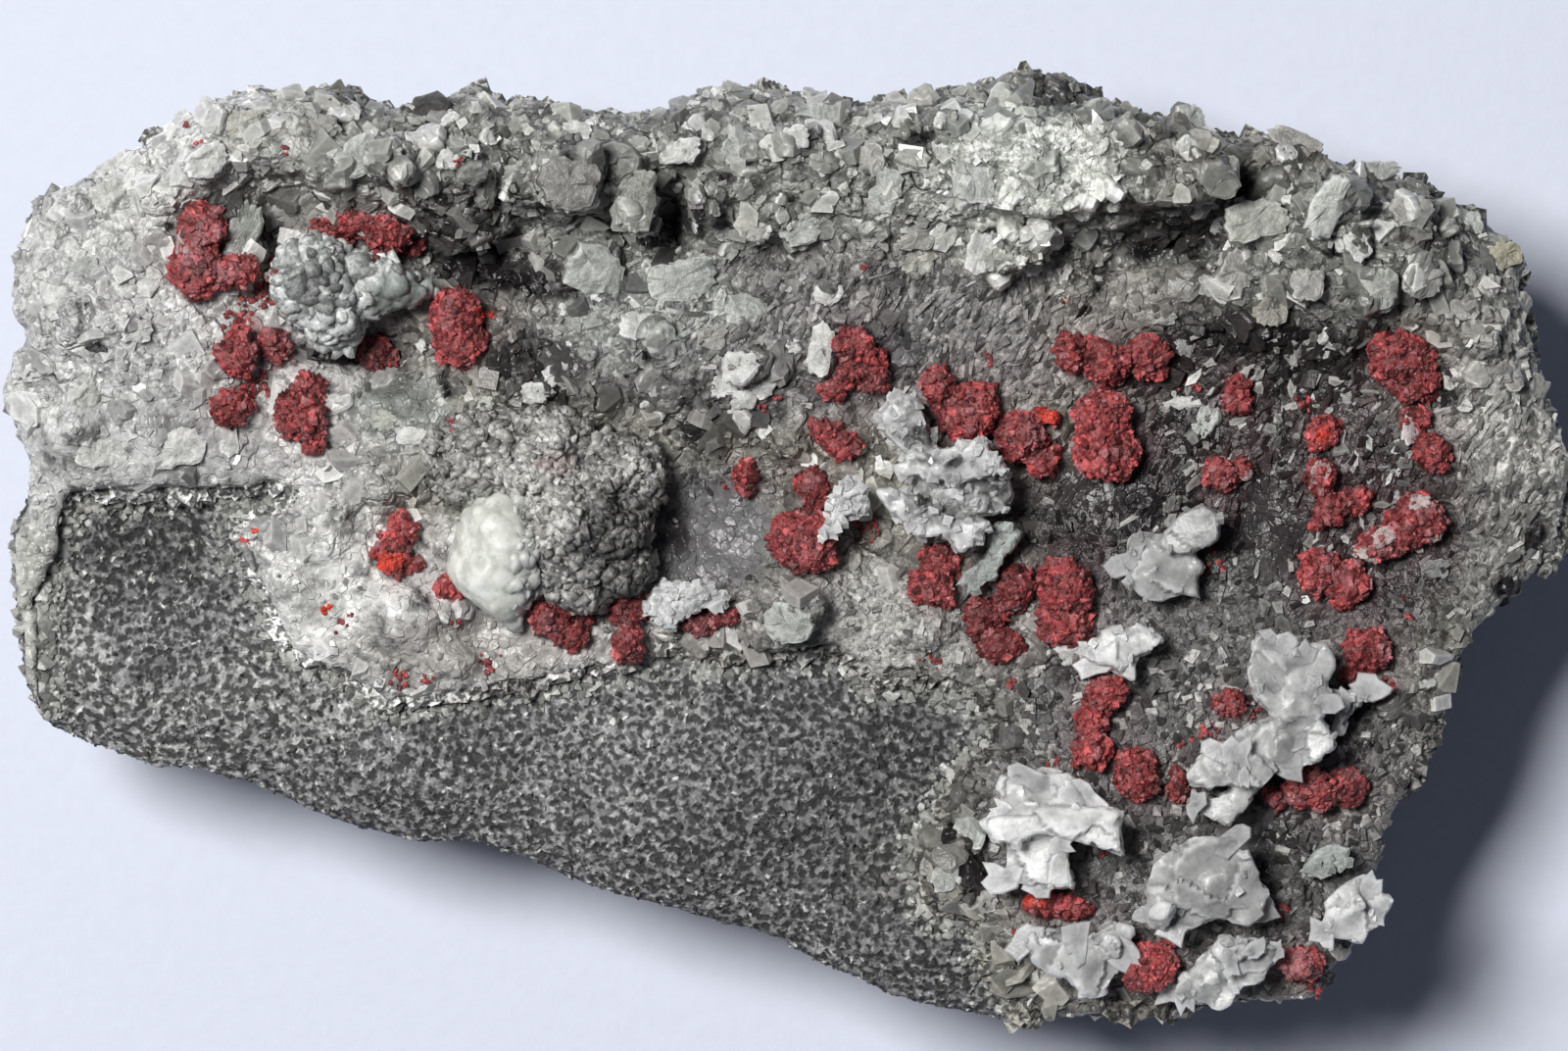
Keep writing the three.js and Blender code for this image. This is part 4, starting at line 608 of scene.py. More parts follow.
def planted(grains, spots, out, sizes, rng, lean=0.6, along=None):
    """Copies of the grains at the spots, joined: points, faces, inner and each point's spot.
    sizes is one size or three for each spot; along is the direction that long grains follow."""
    sizes = np.asarray(sizes, dtype=float)
    sizes = sizes if sizes.ndim == 2 else np.repeat(sizes[:, None], 3, axis=1)
    up = out + lean * unit_vectors(len(spots), rng)
    up /= np.linalg.norm(up, axis=1, keepdims=True)
    ahead = unit_vectors(len(spots), rng) if along is None else along
    side = np.cross(up, ahead)
    side /= np.maximum(np.linalg.norm(side, axis=1, keepdims=True), 1e-9)
    axes = np.stack([np.cross(side, up), side, up], axis=1)
    kinds = rng.integers(len(grains), size=len(spots))
    made = [[], [], [], []]
    start = 0
    for kind, (shape, faces, inner) in enumerate(grains):
        which = np.flatnonzero(kinds == kind)
        placed = np.einsum("kc,nc,ncd->nkd", shape, sizes[which], axes[which]) + spots[which][:, None]
        starts = start + np.arange(len(which)) * len(shape)
        made[0].append(placed.reshape(-1, 3))
        made[1].append((faces[None] + starts[:, None, None]).reshape(-1, 3))
        made[2].append(np.tile(inner, len(which)))
        made[3].append(np.repeat(which, len(shape)))
        start += len(which) * len(shape)
    return [np.concatenate(rows) for rows in made]


def seated(places, ground):
    """The places with the height of the ground under each, found by looking straight down."""
    above, fallback = 40.0, 18.0
    hits = [ground.ray_cast(Vector((*place, above)), Vector((0, 0, -1)))[0] for place in places]
    return np.column_stack([places, [hit.z if hit else fallback for hit in hits]])


def everywhere(spots):
    """The same density at every spot."""
    return np.ones(len(spots))


# --- finishes ----------------------------------------------------------------------------------

class Finish:
    """A material whose nodes are added one by one."""

    def __init__(self, name, **shader_values):
        self.material = bpy.data.materials.new(name)
        self.material.use_nodes = True
        self.tree = self.material.node_tree
        self.tree.nodes.clear()
        output = self.tree.nodes.new("ShaderNodeOutputMaterial")
        self.shader = self.add("ShaderNodeBsdfPrincipled", **shader_values)
        self.tree.links.new(self.shader.outputs[0], output.inputs["Surface"])

    def add(self, kind, settings=None, **inputs):
        """A node.  An input is a number, a colour or another node's output; its name has _ for a space,
        or is i with its place."""
        node = self.tree.nodes.new(kind)
        for key, value in (settings or {}).items():
            setattr(node, key, value)
        for key, value in inputs.items():
            numbered = key[0] == "i" and key[1:].isdigit()
            socket = node.inputs[int(key[1:]) if numbered else key.replace("_", " ")]
            if isinstance(value, bpy.types.NodeSocket):
                self.tree.links.new(value, socket)
            else:
                socket.default_value = value
        return node

    def value(self, name):
        """A number that the mesh carries."""
        return self.add("ShaderNodeAttribute", {"attribute_name": name}).outputs["Fac"]

    def tint(self):
        """The colour that the mesh carries."""
        return self.add("ShaderNodeAttribute", {"attribute_name": "tint"}).outputs["Color"]

    def place(self):
        """Where the point lies in the specimen, in metres."""
        return self.add("ShaderNodeTexCoord").outputs["Object"]

    def speckle(self, size, detail=3.0, rough=0.6):
        """Fine noise from 0 to 1 with lumps about size across, in millimetres."""
        node = self.add("ShaderNodeTexNoise", Vector=self.place(), Scale=1 / (size * MM),
                        Detail=detail, Roughness=rough)
        return node.outputs["Fac"]

    def facets(self, size, wander, slope):
        """Crystals about size across, bent by wander, in millimetres: painted shade in the joints, a painted
        glow on the rims and faces that each slope their own way.  Gives the light and the height in
        millimetres."""
        scale = 1 / (size * MM)
        bend = self.add("ShaderNodeTexNoise", Vector=self.place(), Scale=1.2 * scale, Detail=2.0)
        bent = self.add("ShaderNodeVectorMath", {"operation": "MULTIPLY_ADD"}, i0=bend.outputs["Color"],
                        i1=(wander * MM,) * 3, i2=self.place()).outputs[0]
        edge = self.add("ShaderNodeTexVoronoi", {"feature": "DISTANCE_TO_EDGE"}, Vector=bent,
                        Scale=scale).outputs["Distance"]
        cell = self.add("ShaderNodeTexVoronoi", Vector=bent, Scale=scale)
        own = self.add("ShaderNodeSeparateXYZ", Vector=cell.outputs["Color"]).outputs["X"]
        away = self.add("ShaderNodeVectorMath", {"operation": "SUBTRACT"}, i0=bent,
                        i1=cell.outputs["Position"]).outputs[0]
        tilt = self.add("ShaderNodeVectorMath", {"operation": "MULTIPLY_ADD"}, i0=cell.outputs["Color"],
                        i1=(slope / MM,) * 3, i2=(-0.5 * slope / MM,) * 3).outputs[0]
        face = self.add("ShaderNodeVectorMath", {"operation": "DOT_PRODUCT"}, i0=away, i1=tilt)
        height = self.plus(face.outputs["Value"], self.times(own, 0.2 * size))
        height = self.times(height, self.between(edge, 0, 0.1))
        # Painted shade at the joints and a painted glow just inside them.
        rim = self.times(self.between(edge, 0, 0.05, 0.5, 1), self.between(edge, 0.05, 0.16, 1.28, 0.94))
        return self.times(rim, self.between(own, 0, 1, 0.78, 1.18)), height

    def between(self, value, low, high, start=0.0, end=1.0):
        """The value, stretched so that low and high become start and end."""
        node = self.add("ShaderNodeMapRange", Value=value, From_Min=low, From_Max=high,
                        To_Min=start, To_Max=end)
        return node.outputs["Result"]

    def times(self, a, b):
        """The product of two numbers."""
        return self.add("ShaderNodeMath", {"operation": "MULTIPLY"}, i0=a, i1=b).outputs[0]

    def plus(self, a, b):
        """The sum of two numbers."""
        return self.add("ShaderNodeMath", {"operation": "ADD"}, i0=a, i1=b).outputs[0]

    def faded(self, light, share):
        """The light, drawn towards 1 where the share is small."""
        return self.plus(1.0, self.times(self.plus(light, -1.0), share))

    def shaded(self, colour, light):
        """The colour made darker or lighter by a number."""
        scaled = self.add("ShaderNodeVectorMath", {"operation": "SCALE"}, i0=colour, Scale=light)
        return scaled.outputs[0]

    def bumpy(self, height, depth):
        """Small relief, depth in millimetres for a height of 1."""
        bump = self.add("ShaderNodeBump", Height=height, Distance=depth * MM, Strength=1.0)
        self.tree.links.new(bump.outputs[0], self.shader.inputs["Normal"])

    def use(self, **inputs):
        """Feeds outputs to the shader."""
        for key, value in inputs.items():
            self.tree.links.new(value, self.shader.inputs[key.replace("_", " ")])


def sandstone_finish():
    """Dull grey grains in dark cement."""
    finish = Finish("sandstone", Roughness=0.85, IOR=1.45)
    fine = finish.speckle(0.22, 4, 0.7)
    worms = finish.between(finish.speckle(0.42, 1.4, 0.5), 0.43, 0.59, 0.36, 1.8)
    light = finish.times(worms, finish.between(fine, 0.35, 0.65, 0.7, 1.3))
    finish.use(Base_Color=finish.shaded(finish.tint(), light))
    finish.bumpy(worms, 0.06)
    return finish.material


def druse_finish(bed=False):
    """Sugary crystals that let some light in, with a painted glow at their edges.  The bed has crystals,
    streaks and pits in its finish too, with painted shade in the pits and the crystals' joints."""
    finish = Finish("druse_bed" if bed else "druse", Roughness=0.34, IOR=1.54, Subsurface_Weight=0.2,
                    Subsurface_Scale=0.0006, Subsurface_Radius=(1.0, 1.0, 0.88))
    rough = finish.value("rough")
    fine = finish.speckle(0.3, 3, 0.65)
    light = finish.plus(1.0, finish.times(finish.between(fine, 0.36, 0.64, -0.42, 0.42), rough))
    # A painted glow at the crystals' edges, where inner is small.
    light = finish.times(light, finish.between(finish.value("inner"), 0.05, 0.6, 1.2, 0.9))
    height = finish.times(finish.times(fine, rough), 0.12)
    if bed:
        coarse = finish.value("coarse")
        large, large_height = finish.facets(1.5, 0.9, 0.7)
        small, small_height = finish.facets(0.55, 0.35, 0.6)
        large = finish.faded(large, coarse)
        fine_share = finish.between(coarse, 0, 1, 0.12, 0.7)
        small = finish.faded(small, fine_share)
        # Pits painted dark, as painted shade.
        pits = finish.between(finish.speckle(0.75, 1.5, 0.6), 0.33, 0.38, 0.42, 1)
        pits = finish.faded(pits, coarse)
        along = finish.add("ShaderNodeMapping", {"vector_type": "TEXTURE"}, Vector=finish.place(),
                           Rotation=(0, 0, 1.0), Scale=(2.2, 0.8, 1)).outputs[0]
        worms = finish.add("ShaderNodeTexNoise", Vector=along, Scale=1 / (0.55 * MM), Detail=1.5)
        worms = finish.between(worms.outputs["Fac"], 0.42, 0.6, -0.5, 0.55)
        streaks = finish.plus(finish.times(worms, finish.value("streak")), 1.0)
        light = finish.times(finish.times(light, finish.times(large, small)), finish.times(streaks, pits))
        relief = finish.plus(finish.times(large_height, coarse), finish.times(small_height, 0.6))
        height = finish.plus(height, relief)
    finish.use(Base_Color=finish.shaded(finish.tint(), light))
    finish.bumpy(height, 1.0)
    return finish.material


def glassy_finish():
    """Clear greenish quartz."""
    finish = Finish("glassy_quartz", Roughness=0.32, IOR=1.54, Transmission_Weight=0.06,
                    Subsurface_Weight=0.3, Subsurface_Scale=0.0008, Subsurface_Radius=(1.0, 1.0, 0.9))
    fine = finish.speckle(0.6, 4, 0.65)
    light = finish.between(fine, 0.36, 0.64, 0.7, 1.2)
    # A painted glow at the crystal's rim, where inner is small.
    rim = finish.between(finish.value("inner"), 0.1, 0.7, 1.15, 0.95)
    finish.use(Base_Color=finish.shaded(finish.tint(), finish.times(light, rim)))
    finish.bumpy(fine, 0.25)
    return finish.material


def milky_finish():
    """Milky white blades, translucent, with a wet shine."""
    finish = Finish("milky_crystal", Roughness=0.36, IOR=1.54, Subsurface_Weight=0.5,
                    Subsurface_Scale=0.001, Subsurface_Radius=(1.0, 1.0, 0.9), Transmission_Weight=0.04)
    cloud = finish.speckle(1.4, 3, 0.55)
    light = finish.times(finish.between(cloud, 0.36, 0.64, 0.72, 1.12),
                         finish.between(finish.speckle(0.5, 3, 0.6), 0.36, 0.64, 0.88, 1.1))
    # A painted glow at the blade's rim and ridges, where inner is small.
    rim = finish.between(finish.value("inner"), 0.03, 0.6, 1.22, 0.9)
    finish.use(Base_Color=finish.shaded(finish.tint(), finish.times(light, rim)))
    finish.bumpy(finish.speckle(0.35, 3, 0.6), 0.05)
    return finish.material


def cinnabar_finish():
    """Crimson crystals with a strong sparkle."""
    finish = Finish("cinnabar", Roughness=0.5, IOR=1.6)
    fine = finish.speckle(0.2, 3, 0.6)
    worms = finish.between(finish.speckle(0.5, 1.5, 0.5), 0.42, 0.6, 0.7, 1.2)
    light = finish.times(worms, finish.between(fine, 0.35, 0.65, 0.78, 1.2))
    finish.use(Base_Color=finish.shaded(finish.tint(), light))
    finish.bumpy(finish.plus(worms, fine), 0.12)
    return finish.material


def floor_finish(colour):
    """A plain pale floor with a faint tooth."""
    finish = Finish("floor", Roughness=0.9)
    fine = finish.speckle(1.2, 5, 0.6)
    light = finish.between(fine, 0.3, 0.7, 0.985, 1.015)
    finish.use(Base_Color=finish.shaded(tuple(colour), light))
    finish.bumpy(fine, 0.05)
    return finish.material


# --- settings ----------------------------------------------------------------------------------

def length_property(name, description, default):
    """A length in metres, given in millimetres."""
    return FloatProperty(name=name, description=description, default=default * MM, min=0.0,
                         subtype="DISTANCE", unit="LENGTH", precision=5)


def colour_property(name, description, default):
    """A colour."""
    return FloatVectorProperty(name=name, description=description, default=tuple(default),
                               subtype="COLOR", min=0.0, max=1.0)


class SandstoneSettings(bpy.types.PropertyGroup):
    """The bare stone."""

    grain: length_property("Grain size", "Width of one sand grain", 0.34)
    relief: length_property("Grain relief", "How far a grain stands out of the cement", 0.13)
    grain_colour: colour_property("Grains", "Colour of the pale grains", rgb(160, 160, 158))
    cement_colour: colour_property("Cement", "Colour of the dark cement", rgb(84, 84, 84))


class DruseSettings(bpy.types.PropertyGroup):
    """The crust of quartz crystals."""

    crystal: length_property("Crystal size", "Width of a usual crystal of the crust", 1.3)
    relief: length_property("Relief", "How far the crystals of the bed stand out", 0.5)
    crystals: IntProperty(name="Crystals", description="Places tried for separate crystals",
                          default=2800, min=0)
    grains: IntProperty(name="Grains", description="Places tried for small grains", default=8600, min=0)


class CinnabarSettings(bpy.types.PropertyGroup):
    """The red clusters."""

    grain: length_property("Grain size", "Width of one red crystal", 0.42)
    relief: length_property("Relief", "How far the red crystals stand out", 0.17)
    red: colour_property("Red", "Colour of the clusters", rgb(176, 79, 81))
    pink: colour_property("Pink", "Colour where clear crystals cover the red", rgb(190, 130, 134))
    orange: colour_property("Orange", "Colour of the brightest spots", rgb(220, 70, 52))
    # The crevice colour is painted shade deep between the crystals.
    crevice: colour_property("Crevice", "Colour deep between the crystals", rgb(62, 10, 14))


class BladeSettings(bpy.types.PropertyGroup):
    """The milky blades."""

    milk: colour_property("Milk", "Colour of the blades", rgb(219, 220, 219))
    glass: colour_property("Glass", "Colour of the clearer blades", rgb(176, 182, 178))
    relief: length_property("Relief", "How rough the blades' faces are", 0.05)


class StageSettings(bpy.types.PropertyGroup):
    """Floor, light and camera."""

    floor_colour: colour_property("Floor", "Colour of the floor", (0.80, 0.84, 0.97))
    window: FloatProperty(name="Window", description="Power of the large soft light", default=5.95,
                          min=0.0, subtype="POWER", unit="POWER")
    sky: FloatProperty(name="Sky", description="Strength of the light from all round", default=0.058,
                       min=0.0)
    camera_height: length_property("Camera height", "Height of the camera above the floor", 600)
    view_width: length_property("View width", "Width seen at the height of the crust", 90.08)


class SpecimenSettings(bpy.types.PropertyGroup):
    """All the settings."""

    sandstone: PointerProperty(type=SandstoneSettings)
    druse: PointerProperty(type=DruseSettings)
    cinnabar: PointerProperty(type=CinnabarSettings)
    blades: PointerProperty(type=BladeSettings)
    stage: PointerProperty(type=StageSettings)


# --- the pieces --------------------------------------------------------------------------------

class Growth:
    """What one operator leaves for the next: the ground that small things stand on."""

    skins = {}

    @classmethod
    def ground(cls, *names):
        """The surfaces to seat things on."""
        chosen = [cls.skins[name] for name in (names or cls.skins)]
        counts = np.cumsum([0] + [len(points) for points, _ in chosen])
        faces = [face + start for (_, face), start in zip(chosen, counts)]
        points = np.concatenate([points for points, _ in chosen])
        return BVHTree.FromPolygons(points.tolist(), np.concatenate(faces).tolist())


def in_open_air(points, cover):
    """Whether nothing of the cover lies straight above each point."""
    up = Vector((0, 0, 1))
    return np.array([cover.ray_cast(Vector(point), up)[0] is None for point in points])


def crust_tint(points, wild=0.5):
    """The crust's colour at each point, with painted shadow and shade in places, before its own grains and
    crevices.
    """
    colour = np.tile(rgb(150, 148, 140), (len(points), 1))
    for index, area in enumerate(CRUST_TINTS):
        share = within(points, (area[:4],), 0.3, 1.2, 200 + 3 * index)[:, None]
        colour = colour + share * (area[4] - colour)
    colour = colour * (1 + wild * 0.3 * fractal(points, 2.6, 31))[:, None]
    # Pink tint round the red clusters: partly stained crust, partly painted shade on their lower right.
    blush_and_shade = (within(points, BLUSH_AND_SHADE_AREAS, 0.5, 0.8) * (1 - glassiness(points)))[:, None]
    colour = colour + 0.16 * blush_and_shade * (rgb(142, 106, 110) - colour)
    cream = creaminess(points)
    cloudy = cream * ramp(-0.1, 0.5, fractal(points, 2.4, 39))
    # Small dark spots in the creamy coat, painted as the shade in its pits.
    pitted = cream * ramp(0.05, 0.35, noise(points, 0.5, 41)) * ramp(-0.3, 0.3, fractal(points, 3, 43))
    colour = colour * (1 - 0.3 * cloudy - 0.6 * pitted)[:, None]
    # Dark stains and painted shadow in the dark areas, speckled; the holes painted almost black as painted
    # shade.
    speckled = 1 - 0.6 * ramp(0.0, 0.3, noise(points, 0.6, 37))
    dark = within(points, DARK_AREAS, 0.35, 0.7) * speckled
    dark = np.maximum(0.88 * dark, 0.97 * within(points, HOLES, 0.3, 0.2))[:, None]
    return colour + dark * (rgb(26, 21, 24) - colour)


def stain_and_shade(name):
    """The area round a red cluster that is tinted pink, partly stained and partly painted shade, a little to
    the right and below it, away from the window.
    """
    low, high = (np.array(corner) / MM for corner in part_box(name))
    middle, half = (low + high) / 2, (high - low) / 2 + 0.9
    return middle[0] + 0.3, middle[1] - 0.2, half[0], half[1]


BLUSH_AND_SHADE_AREAS = tuple(stain_and_shade(name) for name in CINNABARS)


def coarseness(points):
    """From 0 where the crust is fine and smooth to 1 where its crystals are large."""
    return 1 - within(points, FINE_AREAS, 0.25, 1.5, 44)


def calmness(points):
    """1 on the pale left end, where the crystals differ little from each other."""
    return within(points, CALM_AREAS, 0.3, 1, 45)


def creaminess(points):
    """1 where the crust is a smooth white coat with crystals sunk in it."""
    return within(points, CREAM_AREAS, 0.3, 1, 47)


def glassiness(points):
    """1 where the crust is smooth dark quartz without grains."""
    return within(points, GLASSY_AREAS, 0.3, 0.8, 46)


def streakiness(points):
    """From 0 to 1 where the crust is streaked with small long crystals."""
    return within(points, STREAKED_AREAS, 0.3, 1.5, 48)


def whitened(tint, spots, share, rng):
    """The tints with a share of the coarse crust's crystals turned white, and none in its dark places."""
    open_crust = (1 - within(spots, DARK_AREAS, 0.3)) * coarseness(spots)
    white = 0.8 * (rng.uniform(size=len(spots)) < share) * open_crust
    return tint + white[:, None] * (WHITE - tint)


def plant_singles(name, rows, ground, rng, sunk):
    """The listed crystals as one piece, seated on the ground."""
    spots = seated(np.array([row[:2] for row in rows]), ground)
    out = np.array([ground.find_nearest(Vector(spot))[1] for spot in spots]) * 0.4 + (0, 0, 0.8)
    out /= np.linalg.norm(out, axis=1, keepdims=True)
    sizes = np.array([(row[2], row[3], 0.62 * min(row[2:4])) for row in rows]) * (1.12, 1.12, 1)
    turn = np.radians([row[5] for row in rows])
    along = np.stack([np.cos(turn), np.sin(turn), np.zeros(len(rows))], axis=1)
    kinds = [chunk(520 + kind, 30) for kind in range(24)]
    made, faces, inner, spot = planted(kinds, spots - out * sunk, out, sizes, rng, 0.12, along)
    light = rim_light(made, inner, spot, spots, out, sizes)
    tint = np.array([row[4] for row in rows])[spot] * light[:, None]
    build(name, made, faces, glassy_finish(), [], {"tint": tint, "inner": 0.4 + 0.3 * inner})


class SPECIMEN_OT_sandstone(bpy.types.Operator):
    """Makes the block of sandstone with its grains"""

    bl_idname = "specimen.sandstone"
    bl_label = "Sandstone"

    def execute(self, context):
        settings = context.scene.specimen.sandstone
        grain, relief = settings.grain / MM, settings.relief / MM
        cover = BVHTree.FromPolygons(*(rows.tolist() for rows in solid("druse_crust")))
        points, faces = remesh(*solid("matrix"), 0.7)
        bare = normals(points, faces)[:, 2] > 0.25
        bare[bare] = in_open_air(points[bare], cover)
        shown = evened(bare.astype(float), faces, 1) > 0.3
        points, faces = refine_where(points, faces, shown[faces].any(axis=1), 0.26)
        out = normals(points, faces)
        nearest, following, own, _ = cells(points, grain, 3)
        worn = fractal(points, 5, 8)
        height = relief * (1 - 1.6 * nearest) * (0.6 + 0.8 * own) + 0.10 * fractal(points, 1.4, 12)
        points = points + out * (height + 0.18 * worn)[:, None]
        pale = ramp(0.42, 0.75, own) * ramp(0.0, 0.22, following - nearest)
        wormy = ramp(0.0, 0.5, fractal(points, 0.35, 77, 2))
        pale = np.clip(0.4 * pale + 0.4 * wormy + 0.1, 0, 1)
        pale = np.clip(pale + 0.12 * noise(points, 6, 5), 0, 1)
        cement = np.array(settings.cement_colour)
        tint = cement + pale[:, None] * (np.array(settings.grain_colour) - cement)
        warm = ramp(0, 1, fractal(points, 9, 21))[:, None]
        tint = tint * (1 + warm * (0.06, 0.04, -0.04))
        # Painted light and shade on the bare stone: darker in the scoop with a painted shadow under the
        # crust's edge, darker on the dim stone, painted light where the stone is lit.
        scoop = within(points, SCOOPED_STONE, 0.4, 0.8)[:, None]
        lit = within(points, LIT_STONE, 0.5, 1)[:, None]
        dim = within(points, DIM_STONE, 0.6, 1)[:, None]
        tint = tint * (1.02 - 0.42 * scoop - 0.3 * dim + lit * (0.42, 0.42, 0.38)) * (0.99, 0.99, 1.03)
        Growth.skins["sandstone"] = (points, faces)
        finish = sandstone_finish()
        build("sandstone_block", points, faces, finish, ["matrix"], {"tint": tint}, True)
        self.strew_grains(settings, finish, points, faces, cover)
        self.line_edge(settings, finish, points, faces, cover)
        return {"FINISHED"}

    def strew_grains(self, settings, finish, points, faces, cover):
        """Loose-standing sand grains on the bare stone."""
        rng = np.random.default_rng(5)
        spots, out = strewn(points, faces, 16000, lambda p: p[:, 2] > 4, rng, 0.5, -0.2)
        bare = in_open_air(spots + (0, 0, 0.1), cover)
        spots, out = spots[bare], out[bare]
        size = 0.5 * settings.grain / MM * rng.uniform(0.45, 1.0, (len(spots), 1)) * (1.5, 0.8, 0.7)
        grains = [sliver(40 + kind) for kind in range(14)]
        made, made_faces, _, spot = planted(grains, spots, out, size, rng, 0.5)
        shade = rng.choice((0.35, 1.1, 1.6, 2.2), (len(spots), 1), p=(0.28, 0.3, 0.3, 0.12))
        dim = within(spots, DIM_STONE, 0.6, 1)[:, None]
        tint = np.array(settings.grain_colour) * 0.62 * shade * (1 - 0.3 * dim)
        build("sand_grains", made, made_faces, finish, [], {"tint": tint[spot]})

    def line_edge(self, settings, finish, points, faces, cover):
        """Coarser grains where the stone goes under the crust."""
        rng = np.random.default_rng(6)
        share = evened(in_open_air(points + (0, 0, 0.1), cover).astype(float), faces, 4)
        out = normals(points, faces)
        left_end = -41.5
        rim = (share > 0.05) & (share < 0.75) & (out[:, 2] > 0.4) & (points[:, 0] > left_end)
        rim = np.flatnonzero(rim)
        rim = rng.choice(rim, min(1400, len(rim)), replace=False)
        spots, out = points[rim], out[rim]
        size = rng.uniform(0.32, 0.75, (len(spots), 1)) * rng.uniform(0.7, 1.2, (len(spots), 3))
        grains = [sliver(60 + kind) for kind in range(10)]
        made, made_faces, _, spot = planted(grains, spots + (0, 0, 0.45), out, size, rng, 1.2)
        tint = crust_tint(spots) * rng.choice((0.5, 0.8, 1.0), (len(spots), 1), p=(0.3, 0.4, 0.3))
        build("sand_edge_grains", made, made_faces, finish, [], {"tint": tint[spot]})


def refine_where(points, faces, chosen, longest):
    """Refines the chosen faces; edges elsewhere are cut only where a neighbour needs it."""
    wanted = np.zeros(len(points), dtype=bool)
    wanted[faces[chosen].ravel()] = True
    marks = wanted.astype(float)
    for _ in range(4):
        packed, faces = refine(np.column_stack([points, marks]), faces,
                               lambda middles: np.where(middles[:, 3] > 0.6, longest, np.inf))
        if len(packed) == len(points):
            break
        points, marks = packed[:, :3], packed[:, 3]
    return points, faces


